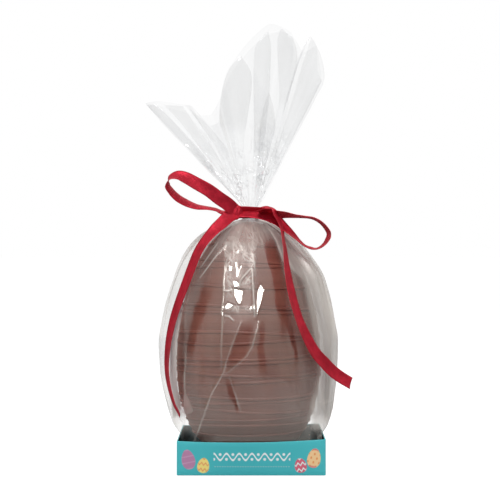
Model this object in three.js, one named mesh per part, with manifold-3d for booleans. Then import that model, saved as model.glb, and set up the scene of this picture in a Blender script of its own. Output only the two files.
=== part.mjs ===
// A milk chocolate egg in a clear film bag, tied with a satin ribbon and standing in a low card tray.
//
// Millimetres, +Z up. The origin is at the centre of the tray's underside, and the decorated front
// of the tray faces -Y. Four solids: tray, egg, film_bag and ribbon.

import * as THREE from 'three';
import { mergeVertices } from 'three/addons/utils/BufferGeometryUtils.js';
import Module from 'manifold-3d';

const wasm = await Module();
wasm.setup();

// ---------------------------------------------------------------- driving dimensions

const GAP = 0.3; // free space between pieces that rest on one another

// Tray
const TRAY_WIDTH = 105.6;
const TRAY_HEIGHT = 25;
const TRAY_TILT = 0.6; // the top edge rises by this much towards +X and falls as much towards -X
const CARD = 0.9;
const CORNER_RADIUS = 1.6;
const PANEL_BULGE = 3.0; // front and back panels pushed outwards at the middle of their top edge
const PANEL_DIP = 1.2; // and the fall of that edge there

// Egg
const EGG_HEIGHT = 179.5;
const EGG_RADIUS = 54;
const EGG_X = -2;
const EGG_COLUMNS = 36;

// Threads of chocolate drizzled round the egg
const THREAD_RISE = 0.75; // how far a thread stands out of the shell
const THREAD_HALF_WIDTH = 0.85;

// Film bag
const FILM = 0.8; // the bag's thickness as a solid
const BAG_LEAN = 2.4; // the filled bag leans this far towards -X, most of all half way up to LEAN_TOP
const LEAN_TOP = 206;
const PLEATS = 13;
const PLEAT_DEPTH = 1.2;
const NECK_X = -1;
const NECK_RADIUS = 6;
const NECK_BOTTOM = 182.4;
const NECK_TOP = 191.5;
const NECK_CENTRE = 188;

// Ribbon
const RIBBON_WIDTH = 10;
const RIBBON_THICKNESS = 0.8;

// ---------------------------------------------------------------- shared geometry

const clamp = (value, low, high) => Math.min(high, Math.max(low, value));
const ramp = (value, from, to) => clamp((value - from) / (to - from), 0, 1);
const radians = THREE.MathUtils.degToRad;

// A closed solid through a stack of rings, each with the same number of points. The first and the
// last ring are closed by a fan of triangles round their middle. Where mirrored(row, i) is true, a
// quad is split the other way, so that the two faces of a thin skin have the same creases.
function solidFromRings(rings, mirrored = () => false) {
  const count = rings[0].length;
  const points = rings.flat();
  const faces = [];
  for (let row = 0; row + 1 < rings.length; row++) {
    for (let i = 0; i < count; i++) {
      const next = (i + 1) % count;
      const a = row * count + i;
      const b = row * count + next;
      const c = a + count;
      const d = b + count;
      if (mirrored(row, i)) {
        faces.push(a, b, c, b, d, c);
      } else {
        faces.push(a, b, d, a, d, c);
      }
    }
  }
  const middle = (ring) => ring.reduce((sum, p) => sum.add(p), new THREE.Vector3()).divideScalar(count);
  const firstMiddle = points.push(middle(rings[0])) - 1;
  const lastMiddle = points.push(middle(rings[rings.length - 1])) - 1;
  const lastRing = (rings.length - 1) * count;
  for (let i = 0; i < count; i++) {
    const next = (i + 1) % count;
    faces.push(firstMiddle, next, i);
    faces.push(lastMiddle, lastRing + i, lastRing + next);
  }
  return indexedGeometry(points, faces);
}

function indexedGeometry(points, faces) {
  const geometry = new THREE.BufferGeometry().setFromPoints(points);
  geometry.setIndex(faces);
  return geometry;
}

function toSolid(geometry) {
  const bare = geometry.clone();
  bare.deleteAttribute('normal');
  bare.deleteAttribute('uv');
  const merged = mergeVertices(bare, 1e-4);
  return new wasm.Manifold(new wasm.Mesh({
    numProp: 3,
    vertProperties: Float32Array.from(merged.attributes.position.array),
    triVerts: Uint32Array.from(merged.index.array),
  }));
}

function toGeometry(solid) {
  const mesh = solid.getMesh();
  const geometry = new THREE.BufferGeometry();
  geometry.setAttribute('position', new THREE.BufferAttribute(mesh.vertProperties, 3));
  geometry.setIndex(Array.from(mesh.triVerts));
  return geometry;
}

function fuse(geometries) {
  return toGeometry(geometries.map(toSolid).reduce((whole, piece) => whole.add(piece)));
}

function namedMesh(name, geometry, material) {
  geometry.computeVertexNormals();
  const mesh = new THREE.Mesh(geometry, new THREE.MeshStandardMaterial(material));
  mesh.name = name;
  return mesh;
}

// ---------------------------------------------------------------- tray

// One horizontal outline of the tray, anticlockwise, with small round corners. The front and back
// sides have extra points so that they can bulge.
function trayOutline(half, radius) {
  const outline = [];
  const arcSteps = 3;
  const sideSteps = 8;
  for (let corner = 0; corner < 4; corner++) {
    const turn = corner * Math.PI / 2;
    const centre = new THREE.Vector2(half - radius, half - radius).rotateAround(new THREE.Vector2(), turn);
    for (let step = 0; step <= arcSteps; step++) {
      const angle = turn + step / arcSteps * Math.PI / 2;
      outline.push(new THREE.Vector2(Math.cos(angle), Math.sin(angle)).multiplyScalar(radius).add(centre));
    }
    const facesFrontOrBack = corner % 2 === 0;
    for (let step = 1; facesFrontOrBack && step < sideSteps; step++) {
      const along = (half - radius) * (1 - 2 * step / sideSteps);
      outline.push(new THREE.Vector2(along, half).rotateAround(new THREE.Vector2(), turn));
    }
  }
  return outline;
}

function trayRing(half, radius, height) {
  return trayOutline(half, radius).map((point) => {
    const rise = height / TRAY_HEIGHT;
    const middle = 1 - (point.x / half) ** 2;
    const onPanel = Math.abs(point.y) > half - 1e-6 ? 1 : 0;
    const bulge = onPanel * PANEL_BULGE * middle * rise;
    const edge = height === TRAY_HEIGHT ? TRAY_TILT * point.x / half - onPanel * PANEL_DIP * middle : 0;
    return new THREE.Vector3(point.x, point.y + Math.sign(point.y) * bulge, height + edge);
  });
}

function trayGeometry() {
  const outer = TRAY_WIDTH / 2;
  const inner = outer - CARD;
  const innerRadius = CORNER_RADIUS - CARD;
  return solidFromRings([
    trayRing(outer, CORNER_RADIUS, 0),
    trayRing(outer, CORNER_RADIUS, TRAY_HEIGHT),
    trayRing(inner, innerRadius, TRAY_HEIGHT),
    trayRing(inner, innerRadius, CARD),
  ]);
}

// ---------------------------------------------------------------- egg

const EGG_BASE = CARD + GAP + FILM + GAP;
const EGG_FLAT = 0.006; // the share of the egg's height that its flat resting spot takes off

// Radius of the shell at a place from -1 (bottom) to 1 (top): a circle drawn out towards the top.
function eggRadius(place) {
  return EGG_RADIUS * Math.sqrt(1 - place * place) * (0.975 - 0.122 * place + 0.06 * place * place);
}

const eggPlaceAt = (height) => 2 * ((height - EGG_BASE) / EGG_HEIGHT + EGG_FLAT) - 1;

// The threads from the bottom up: height at the front, slope from -X to +X, and sway round the egg.
const THREADS = [
  { height: 26.6, slope: 1.0, sway: 0.6 },
  { height: 33.6, slope: 1.8, sway: -0.7 },
  { height: 38.0, slope: 2.6, sway: 0.7 },
  { height: 44.2, slope: -0.5, sway: 0.8 },
  { height: 50.8, slope: 2.4, sway: 0.6 },
  { height: 54.4, slope: 0.9, sway: -0.8 },
  { height: 65.6, slope: 1.6, sway: 0.7 },
  { height: 70.6, slope: -0.8, sway: 0.9 },
  { height: 78.8, slope: 3.2, sway: -0.6 },
  { height: 82.2, slope: 2.6, sway: 1.1 },
  { height: 93.6, slope: 1.2, sway: -0.8 },
  { height: 99.4, slope: -0.9, sway: 1.5 },
  { height: 114.2, slope: -0.6, sway: -0.7 },
  { height: 118.2, slope: -1.8, sway: 0.6 },
  { height: 133, slope: -1.1, sway: 0.8 },
  { height: 147.4, slope: 0.9, sway: -0.6 },
  { height: 151, slope: -1.4, sway: 0.5 },
  { height: 163, slope: -0.6, sway: 0.7 },
];
const PLAIN_ROWS = [4, 7.5, 12, 17, 22, 60, 88, 106, 125, 140, 157, 168, 172.5, 176, 178.6, 180, 180.6];
const ROW_SPACING = 0.15; // least height between two rows where threads run into one another

// Each thread is three rows of the shell's surface: its lower edge, its crest and its upper edge.
function eggRows() {
  const threads = THREADS.flatMap(({ height, slope, sway }) => [
    { height: height - THREAD_HALF_WIDTH, slope, sway, phase: height, rise: 0 },
    { height, slope, sway, phase: height, rise: THREAD_RISE },
    { height: height + THREAD_HALF_WIDTH, slope, sway, phase: height, rise: 0 },
  ]);
  const plain = PLAIN_ROWS.map((height) => ({ height, slope: 0, sway: 0, phase: 0, rise: 0 }));
  return [...threads, ...plain].sort((a, b) => a.height - b.height);
}

function eggGeometry() {
  const angles = Array.from({ length: EGG_COLUMNS }, (_, column) => 2 * Math.PI * column / EGG_COLUMNS);
  const ringAt = (heights, rise) => angles.map((angle, i) => {
    const radius = eggRadius(eggPlaceAt(heights[i])) + rise;
    return new THREE.Vector3(EGG_X + radius * Math.cos(angle), radius * Math.sin(angle), heights[i]);
  });
  let heights = angles.map(() => EGG_BASE);
  const rings = [ringAt(heights, 0)];
  for (const { height, slope, sway, phase, rise } of eggRows()) {
    heights = angles.map((angle, i) => {
      const wave = slope * Math.cos(angle) + sway * Math.sin(2 * angle + phase);
      return Math.max(height + wave, heights[i] + ROW_SPACING);
    });
    rings.push(ringAt(heights, rise));
  }
  return solidFromRings(rings);
}

// ---------------------------------------------------------------- film bag

// The filled bag from the bottom up: half width, half depth, and how square the section is (2 is
// an ellipse). It starts as the tray's square and ends round, at the neck.
const BAG_BASE = CARD + GAP;
const BAG_SECTIONS = [
  { height: BAG_BASE, width: 48.5, depth: 48.5, square: 7 },
  { height: 4.5, width: 51.2, depth: 51.2, square: 9 },
  { height: 26.5, width: 51.2, depth: 51.2, square: 7.5 },
  { height: 34, width: 56.8, depth: 53.6, square: 4 },
  { height: 49, width: 61.4, depth: 56.4, square: 2.7 },
  { height: 70, width: 64.2, depth: 58.0, square: 2.3 },
  { height: 90, width: 64.4, depth: 57.4, square: 2.2 },
  { height: 108, width: 62.2, depth: 54.6, square: 2.1 },
  { height: 123, width: 59.2, depth: 50.4, square: 2 },
  { height: 137, width: 55.0, depth: 46.4, square: 2 },
  { height: 149, width: 50.6, depth: 41.6, square: 2 },
  { height: 160, width: 44.6, depth: 35.8, square: 2 },
  { height: 168.5, width: 37.4, depth: 29.4, square: 2 },
  { height: 174.4, width: 29.4, depth: 23.6, square: 2 },
  { height: 179.4, width: 17.6, depth: 15.6, square: 2 },
  { height: NECK_BOTTOM, width: NECK_RADIUS, depth: NECK_RADIUS, square: 2 },
];

// The free top of the bag: the corners of its cut edge, seen from the middle of the neck. Lean is
// from upright towards +X in degrees, reach is the length up the film, and depth is towards +Y.
const RIM_RIGHT_TIP = [28.7, 111, 0];
const RIM_LEFT_TIP = [-44, 111, 0];
const RIM_BACK = [
  [25.5, 117, 8], [22, 132, 3.5], [18.5, 126, 11], [14.5, 133, 4.5], [10, 137, 12], [5, 131, 4],
  [-1, 119, 12], [-8, 103, 4.5], [-15, 87, 12], [-22, 78, 4.5], [-30, 84, 11], [-38, 98, 5],
];
const RIM_FRONT = [
  [-39.5, 105, -9], [-32, 93, -3.5], [-28.7, 87.5, -10], [-25, 70.5, -4], [-19, 69.5, -13],
  [-15.8, 80, -4.5], [-10, 102, -12], [-1, 124, -5], [6, 138, -12], [13.5, 134, -9],
  [16.4, 116, -3.5], [20.5, 135, -10],
];
const RIM = [RIM_RIGHT_TIP, ...RIM_BACK, RIM_LEFT_TIP, ...RIM_FRONT];
const BAG_COLUMNS = 2 * RIM.length;
const FAN_STEPS = [0.1, 0.22, 0.36, 0.52, 0.68, 0.84, 1];

const columnAngle = (column) => 2 * Math.PI * column / BAG_COLUMNS;
const bagAxisX = (height) => -BAG_LEAN * Math.sin(Math.PI * ramp(height, TRAY_HEIGHT, LEAN_TOP));

function bagSection(height) {
  const last = BAG_SECTIONS.length - 1;
  const found = BAG_SECTIONS.findIndex((section) => section.height > height);
  const upper = found < 1 ? (found === 0 ? 1 : last) : found;
  const [a, b] = [BAG_SECTIONS[upper - 1], BAG_SECTIONS[upper]];
  const share = ramp(height, a.height, b.height);
  const mix = (key) => THREE.MathUtils.lerp(a[key], b[key], share);
  return { width: mix('width'), depth: mix('depth'), square: mix('square') };
}

// Pleats grow from the middle of the bag to its shoulder and are drawn together at the neck.
function pleat(angle, height) {
  const growth = ramp(height, 60, 165) * ramp(height, NECK_BOTTOM, 172);
  return PLEAT_DEPTH * growth * Math.cos(PLEATS * angle);
}

function bagPoint(angle, height) {
  const { width, depth, square } = bagSection(height);
  const across = Math.abs(Math.cos(angle) / width) ** square;
  const through = Math.abs(Math.sin(angle) / depth) ** square;
  const radius = (across + through) ** (-1 / square) + pleat(angle, height);
  return new THREE.Vector3(bagAxisX(height) + radius * Math.cos(angle), radius * Math.sin(angle), height);
}

function neckPoint(angle, height, radius) {
  return new THREE.Vector3(NECK_X + radius * Math.cos(angle), radius * Math.sin(angle), height);
}

function rimCorner([lean, reach, depth]) {
  const angle = radians(lean);
  return new THREE.Vector3(NECK_X + reach * Math.sin(angle), depth, NECK_CENTRE + reach * Math.cos(angle));
}

function rimPoint(column) {
  const corner = rimCorner(RIM[Math.floor(column / 2)]);
  const next = rimCorner(RIM[Math.ceil(column / 2) % RIM.length]);
  return corner.lerp(next, 0.5);
}

function bagRings() {
  const columns = Array.from({ length: BAG_COLUMNS }, (_, column) => column);
  const rings = BAG_SECTIONS.map(({ height }) => columns.map((column) => bagPoint(columnAngle(column), height)));
  const middleOfNeck = (NECK_BOTTOM + NECK_TOP) / 2;
  rings.push(columns.map((column) => neckPoint(columnAngle(column), middleOfNeck, NECK_RADIUS - 0.3)));
  rings.push(columns.map((column) => neckPoint(columnAngle(column), NECK_TOP, NECK_RADIUS)));
  for (const step of FAN_STEPS) {
    rings.push(columns.map((column) => {
      const root = neckPoint(columnAngle(column), NECK_TOP, NECK_RADIUS);
      return root.lerp(rimPoint(column), step);
    }));
  }
  return rings;
}

// Every point of the bag moved into it by the film's thickness, square to the surface.
function insideOf(rings) {
  const count = rings[0].length;
  return rings.map((ring, row) => ring.map((point, i) => {
    const below = rings[Math.max(row - 1, 0)][i];
    const above = rings[Math.min(row + 1, rings.length - 1)][i];
    const around = ring[(i + 1) % count].clone().sub(ring[(i + count - 1) % count]);
    const upward = above.clone().sub(below);
    const outward = around.cross(upward).normalize();
    if (row === 0) {
      outward.set(0, 0, -1);
    }
    return point.clone().addScaledVector(outward, -FILM);
  }));
}

// The bag is one skin with its mouth open at the top, so outside and inside meet at the rim.
function filmBagGeometry() {
  const outside = bagRings();
  const inside = insideOf(outside);
  return solidFromRings([...outside, ...inside.reverse()], (row) => row >= outside.length);
}

// ---------------------------------------------------------------- ribbon

// Each strand lists places on its middle line and its turn: 0 lies flat to the front, 90 stands
// edge on, with the edge on its left as it runs brought forward.
const LEFT_LOOP = [
  [-11.2, -10, 187.5, 17], [-17.0, -13, 192.9, 9], [-23.3, -16, 197.2, 10], [-31.1, -19, 202.9, 19],
  [-39.8, -22, 207.7, 25], [-48.0, -24, 212.0, 33], [-53.7, -25, 213.4, 49], [-59.1, -25, 211.5, 73],
  [-60.3, -24, 206.7, 109], [-57.8, -22, 202.4, 116], [-53.4, -20, 198.0, 121], [-47.2, -18, 194.4, 121],
  [-40.0, -16, 191.8, 114], [-32.6, -14, 190.9, 105], [-26.3, -12, 189.7, 103], [-21.0, -10, 187.6, 107],
  [-12.7, -8, 186.8, 116],
];
const RIGHT_LOOP = [
  [-9.0, -9, 187.5, 30], [-1.0, -8.4, 187.4, 10], [8.5, -9.5, 187.0, 35], [18.4, -12, 186.0, 54],
  [25.5, -14, 185.8, 66], [33.2, -16, 184.8, 79], [39.8, -18, 184.0, 84], [45.3, -19, 183.0, 82],
  [50.4, -20, 180.3, 80], [54.4, -21, 176.2, 77], [56.6, -22, 172.1, 75], [56.2, -23, 168.0, 73],
  [53.4, -24, 163.7, 80], [48.6, -25, 160.6, 86], [43.7, -26, 160.5, 80], [38.7, -26, 162.4, 82],
  [33.6, -25.5, 166.7, 77], [28.6, -23.5, 171.6, 66], [23.5, -20.5, 176.3, 56],
  [18.5, -16.8, 180.8, 46], [9.0, -11, 185.4, 30], [-1.0, -8.6, 187.4, 12],
];
const RIGHT_TAIL = [
  [5.0, -12, 189.0, -60], [10.8, -15, 190.2, -70], [15.7, -18, 188.5, -77], [17.8, -21, 184.4, -75],
  [20.2, -25, 179.2, -76], [21.7, -29, 174.1, -80], [22.6, -33, 168.5, -81], [23.5, -36.5, 162.4, -78],
  [24.4, -40, 154.8, -73], [24.9, -42.5, 149.3, -69], [28.2, -49, 129.8, -58], [33.8, -52, 110.1, -58],
  [40.8, -51, 94.5, -48], [45.9, -48.5, 85.9, -45], [52.4, -44.5, 78.6, -39], [58.2, -41, 72.7, -38],
  [64.1, -38, 68.2, -39], [71.5, -35, 63.6, -41],
];
const LEFT_TAIL = [
  [-10.5, -9.5, 187.0, 25], [-16.1, -14, 184.0, 25], [-21.4, -20, 178.9, 34], [-26.3, -25, 174.2, 42],
  [-30.2, -27, 169.8, 47], [-34.0, -28, 165.0, 50], [-38.4, -29, 157.6, 51], [-46.1, -31, 137.8, 53],
  [-55.4, -31, 111.2, 58], [-59.4, -31.5, 92.0, 64], [-60.4, -32, 74.7, 70], [-58.6, -36.5, 62.6, 74],
  [-54.8, -43.5, 50.6, 78], [-50.2, -50, 41.0, 80],
];
const KNOT_CENTRE = [-10.5, -8.5, 187];
const KNOT_SIZE = [6.5, 4, 5.4];
const BAND_BOTTOM = 183.4;
const BAND_TOP = 191;
const BAND_RADIUS = NECK_RADIUS + GAP + 0.1;
const STEPS_PER_STATION = 2;

// The sections of a flat band through its stations. Its width direction starts square to the run
// as seen from the front and is turned about the run by the station's angle.
function strandRings(stations) {
  const path = new THREE.CatmullRomCurve3(stations.map(([x, y, z]) => new THREE.Vector3(x, y, z)));
  const steps = (stations.length - 1) * STEPS_PER_STATION;
  const rings = [];
  for (let step = 0; step <= steps; step++) {
    const place = step / steps * (stations.length - 1);
    const from = Math.min(Math.floor(place), stations.length - 2);
    const turn = radians(THREE.MathUtils.lerp(stations[from][3], stations[from + 1][3], place - from));
    const centre = path.getPoint(step / steps);
    const run = path.getTangent(step / steps);
    const square = new THREE.Vector3(-run.z, 0, run.x).normalize();
    const width = square.multiplyScalar(Math.cos(turn)).add(new THREE.Vector3(0, -Math.sin(turn), 0));
    width.addScaledVector(run, -width.dot(run)).normalize();
    const face = run.clone().cross(width);
    const corner = (w, t) => centre.clone()
      .addScaledVector(width, w * RIBBON_WIDTH / 2)
      .addScaledVector(face, t * RIBBON_THICKNESS / 2);
    rings.push([corner(-1, -1), corner(1, -1), corner(1, 1), corner(-1, 1)]);
  }
  return rings;
}

const bandGeometry = (rings) => solidFromRings(rings, (row, side) => side >= 2);

// A loop leaves the knot and comes back through it, so its two halves are solids of their own.
function loopGeometries(stations) {
  const rings = strandRings(stations);
  const half = Math.floor(rings.length / 2);
  return [bandGeometry(rings.slice(0, half + 1)), bandGeometry(rings.slice(half))];
}

function neckBandGeometry() {
  const outer = BAND_RADIUS + 2 * RIBBON_THICKNESS;
  const profile = [
    new THREE.Vector2(BAND_RADIUS, BAND_BOTTOM),
    new THREE.Vector2(outer, BAND_BOTTOM),
    new THREE.Vector2(outer, BAND_TOP),
    new THREE.Vector2(BAND_RADIUS, BAND_TOP),
    new THREE.Vector2(BAND_RADIUS, BAND_BOTTOM),
  ];
  return new THREE.LatheGeometry(profile, 24).rotateX(Math.PI / 2).translate(NECK_X, 0, 0);
}

function knotGeometry() {
  return new THREE.SphereGeometry(1, 12, 8).scale(...KNOT_SIZE).translate(...KNOT_CENTRE);
}

function ribbonGeometry() {
  return fuse([
    neckBandGeometry(),
    knotGeometry(),
    ...loopGeometries(LEFT_LOOP),
    ...loopGeometries(RIGHT_LOOP),
    bandGeometry(strandRings(LEFT_TAIL)),
    bandGeometry(strandRings(RIGHT_TAIL)),
  ]);
}

// ---------------------------------------------------------------- the whole

const group = new THREE.Group();
group.add(
  namedMesh('tray', trayGeometry(), { color: 0x4ca2a6, roughness: 0.5, metalness: 0 }),
  namedMesh('egg', eggGeometry(), { color: 0x6f4a3a, roughness: 0.45, metalness: 0 }),
  namedMesh('film_bag', filmBagGeometry(), {
    color: 0xf4f6f6, roughness: 0.08, metalness: 0, transparent: true, opacity: 0.25,
  }),
  namedMesh('ribbon', ribbonGeometry(), { color: 0xa52c38, roughness: 0.4, metalness: 0 }),
);

export default group;
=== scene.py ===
"""The looks of a milk chocolate egg in a clear film bag, tied with a satin ribbon, in a card tray.

Shapes are worked out in millimetres and turned into metres when a mesh is made. The frame is the
CAD model's: +Z up, with the tray's printed front towards -Y.
"""

import math

import bpy
import numpy as np
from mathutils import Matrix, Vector


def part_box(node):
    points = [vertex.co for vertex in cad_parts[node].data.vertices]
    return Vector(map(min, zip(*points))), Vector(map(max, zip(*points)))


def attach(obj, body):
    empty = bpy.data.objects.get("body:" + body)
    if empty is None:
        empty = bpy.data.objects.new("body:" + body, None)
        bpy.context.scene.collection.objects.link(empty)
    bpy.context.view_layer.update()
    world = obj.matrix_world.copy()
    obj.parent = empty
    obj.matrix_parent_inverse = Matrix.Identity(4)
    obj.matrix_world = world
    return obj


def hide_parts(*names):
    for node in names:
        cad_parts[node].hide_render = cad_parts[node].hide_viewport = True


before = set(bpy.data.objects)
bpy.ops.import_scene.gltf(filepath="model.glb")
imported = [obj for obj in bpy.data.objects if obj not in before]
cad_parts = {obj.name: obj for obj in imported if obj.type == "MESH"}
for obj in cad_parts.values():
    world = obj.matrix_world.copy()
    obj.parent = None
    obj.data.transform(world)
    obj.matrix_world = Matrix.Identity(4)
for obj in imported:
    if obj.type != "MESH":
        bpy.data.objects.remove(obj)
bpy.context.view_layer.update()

MM = 0.001
FULL_TURN = 2 * math.pi


def node_box(node):
    """A CAD node's lowest and highest corner, in millimetres."""
    low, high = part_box(node)
    return np.array(low) / MM, np.array(high) / MM


# ---------------------------------------------------------------- sizes, in millimetres

# The main forms are those of the solids. Only the shoulder's drawing in, the left tail's tip, the
# strands' ends behind the knot and the thickness of the ribbon are the scene's own.
TRAY_HIGH = node_box("tray")[1]
TRAY_HALF = TRAY_HIGH[0]
TRAY_TILT = 0.6
TRAY_HEIGHT = TRAY_HIGH[2] - TRAY_TILT
PANEL_BULGE = TRAY_HIGH[1] - TRAY_HALF
PANEL_DIP = 1.2
CARD = 0.9
CORNER_RADIUS = 1.6

EGG_BASE = node_box("egg")[0][2]
EGG_HEIGHT = 179.5
EGG_RADIUS = 54.0
EGG_X = -2.0
EGG_FLAT = 0.006

THREAD_RISE = 0.75
THREAD_HALF_WIDTH = 0.85
# The threads from the bottom up: height at the front, slope from -X to +X, and sway round the egg.
THREADS = [
    (26.6, 1.0, 0.6),
    (33.6, 1.8, -0.7),
    (38.0, 2.6, 0.7),
    (44.2, -0.5, 0.8),
    (50.8, 2.4, 0.6),
    (54.4, 0.9, -0.8),
    (65.6, 1.6, 0.7),
    (70.6, -0.8, 0.9),
    (78.8, 3.2, -0.6),
    (82.2, 2.6, 1.1),
    (93.6, 1.2, -0.8),
    (99.4, -0.9, 1.5),
    (114.2, -0.6, -0.7),
    (118.2, -1.8, 0.6),
    (133.0, -1.1, 0.8),
    (147.4, 0.9, -0.6),
    (151.0, -1.4, 0.5),
    (163.0, -0.6, 0.7),
]

BAG_BASE = node_box("film_bag")[0][2]
BAG_LEAN = 2.4
LEAN_TOP = 206.0
SHOULDER_DRAWN_IN = 4.2
NECK_X = -1.0
NECK_RADIUS = 6.0
NECK_BOTTOM = 182.4
NECK_TOP = 191.5
NECK_CENTRE = 188.0
# The filled bag from the bottom up: height, half width, half depth, and how square the section is.
BAG_SECTIONS = [
    (BAG_BASE, 48.5, 48.5, 7.0),
    (4.5, 51.2, 51.2, 9.0),
    (26.5, 51.2, 51.2, 7.5),
    (34.0, 56.8, 53.6, 4.0),
    (49.0, 61.4, 56.4, 2.7),
    (70.0, 64.2, 58.0, 2.3),
    (90.0, 64.4, 57.4, 2.2),
    (108.0, 62.2, 54.6, 2.1),
    (123.0, 59.2, 50.4, 2.0),
    (137.0, 55.0, 46.4, 2.0),
    (149.0, 50.6, 41.6, 2.0),
    (160.0, 44.6, 35.8, 2.0),
    (168.5, 37.4, 29.4, 2.0),
    (174.4, 29.4, 23.6, 2.0),
    (179.4, 17.6, 15.6, 2.0),
    (NECK_BOTTOM, NECK_RADIUS, NECK_RADIUS, 2.0),
]
# The corners of the bag's cut edge, seen from the middle of the neck: lean from upright towards +X
# in degrees, reach up the film, and depth towards +Y. They run round from +X by way of the back.
RIM = [
    (28.7, 111, 0),
    (25.5, 117, 8),
    (22, 132, 3.5),
    (18.5, 126, 11),
    (14.5, 133, 4.5),
    (10, 137, 12),
    (5, 131, 4),
    (-1, 119, 12),
    (-8, 103, 4.5),
    (-15, 87, 12),
    (-22, 78, 4.5),
    (-30, 84, 11),
    (-38, 98, 5),
    (-44, 111, 0),
    (-39.5, 105, -9),
    (-32, 93, -3.5),
    (-28.7, 87.5, -10),
    (-25, 70.5, -4),
    (-19, 69.5, -13),
    (-15.8, 80, -4.5),
    (-10, 102, -12),
    (-1, 124, -5),
    (6, 138, -12),
    (13.5, 134, -9),
    (16.4, 116, -3.5),
    (20.5, 135, -10),
]

RIBBON_WIDTH = 10.0
RIBBON_THICKNESS = 0.3
BAND_BOTTOM = 183.4
BAND_TOP = 191.0
BAND_RADIUS = NECK_RADIUS + 0.4
# Each strand lists places on its middle line and its turn: 0 lies flat to the front, 90 stands edge
# on, with the edge on its left as it runs brought forward.
LEFT_LOOP = [
    (-11.2, -10, 187.5, 17),
    (-17.0, -13, 192.9, 9),
    (-23.3, -16, 197.2, 10),
    (-31.1, -19, 202.9, 19),
    (-39.8, -22, 207.7, 25),
    (-48.0, -24, 212.0, 33),
    (-53.7, -25, 213.4, 49),
    (-59.1, -25, 211.5, 73),
    (-60.3, -24, 206.7, 109),
    (-57.8, -22, 202.4, 116),
    (-53.4, -20, 198.0, 121),
    (-47.2, -18, 194.4, 121),
    (-40.0, -16, 191.8, 114),
    (-32.6, -14, 190.9, 105),
    (-26.3, -12, 189.7, 103),
    (-21.0, -10, 187.6, 107),
    (-12.7, -8, 186.8, 116),
]
RIGHT_LOOP = [
    (-9.0, -9, 187.5, 30),
    (-1.0, -8.4, 187.4, 34),
    (8.5, -9.5, 187.0, 35),
    (18.4, -12, 186.0, 54),
    (25.5, -14, 185.8, 66),
    (33.2, -16, 184.8, 79),
    (39.8, -18, 184.0, 84),
    (45.3, -19, 183.0, 82),
    (50.4, -20, 180.3, 80),
    (54.4, -21, 176.2, 77),
    (56.6, -22, 172.1, 75),
    (56.2, -23, 168.0, 73),
    (53.4, -24, 163.7, 80),
    (48.6, -25, 160.6, 86),
    (43.7, -26, 160.5, 80),
    (38.7, -26, 162.4, 82),
    (33.6, -25.5, 166.7, 77),
    (28.6, -23.5, 171.6, 66),
    (23.5, -20.5, 176.3, 56),
    (18.5, -16.8, 180.8, 46),
    (9.0, -11, 185.6, 30),
    (-1.0, -9.2, 187.2, 36),
    (-9.0, -9.4, 187.4, 36),
]
RIGHT_TAIL = [
    (5.0, -11.5, 189.0, -78),
    (10.8, -15, 190.0, -80),
    (15.7, -18, 188.5, -80),
    (17.8, -21, 184.4, -75),
    (20.2, -25, 179.2, -76),
    (21.7, -29, 174.1, -80),
    (22.6, -33, 168.5, -81),
    (23.5, -36.5, 162.4, -78),
    (24.4, -40, 154.8, -73),
    (24.9, -42.5, 149.3, -69),
    (28.2, -49, 129.8, -58),
    (33.8, -52, 110.1, -58),
    (40.8, -51, 94.5, -48),
    (45.9, -48.5, 85.9, -45),
    (52.4, -44.5, 78.6, -39),
    (58.2, -41, 72.7, -38),
    (64.1, -38, 68.2, -39),
    (71.5, -35, 63.6, -41),
]
LEFT_TAIL = [
    (-10.5, -9.5, 187.0, 25),
    (-16.1, -14, 184.0, 25),
    (-21.4, -20, 178.9, 34),
    (-26.3, -25, 174.2, 42),
    (-30.2, -27, 169.8, 47),
    (-34.0, -28, 165.0, 50),
    (-38.4, -29, 157.6, 51),
    (-46.1, -31, 137.8, 53),
    (-55.4, -31, 111.2, 58),
    (-59.4, -31.5, 92.0, 64),
    (-60.4, -32, 74.7, 70),
    (-58.6, -36.5, 62.6, 74),
    (-54.8, -43.5, 50.6, 78),
    (-50.9, -49, 43.4, 80),
]
KNOT_CENTRE = (-10.5, -8.5, 187.0)
KNOT_SIZE = (6.5, 4.0, 5.4)

# ---------------------------------------------------------------- numbers

# How many rows the tables of random numbers have before they repeat, and how many cells a pattern
# has across where it doesn't go round the bag.
TABLE_ROWS = 64
PATTERN_CELLS = 32
CELL_WARP = 0.5
# How far a point is from a square cell's diagonal, as a share of its step across the cell.
DIAGONAL = 0.7


def ramp(value, low, high):
    """0 below low, 1 above high, and an even rise between them."""
    return np.clip((value - low) / (high - low), 0, 1)


def smooth(value, low, high):
    """0 below low, 1 above high, with a soft rise between them."""
    return eased(ramp(value, low, high))


def eased(share):
    """The share from 0 to 1, with a soft start and end."""
    return share * share * (3 - 2 * share)


def window(value, low, low_full, high_full, high):
    """1 from low_full to high_full, falling softly to 0 at low and at high."""
    return smooth(value, low, low_full) * smooth(value, high, high_full)


def towards(value, target, share):
    """The value, moved by the share of its way to the target."""
    return value + (target - value) * share


def hermite(t, start, start_slope, end, end_slope):
    """The smooth curve with those ends and slopes, at t from 0 to 1."""
    first = (1 + 2 * t) * (1 - t) ** 2 * start + t * (1 - t) ** 2 * start_slope
    return first + t * t * (3 - 2 * t) * end + t * t * (t - 1) * end_slope


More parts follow.
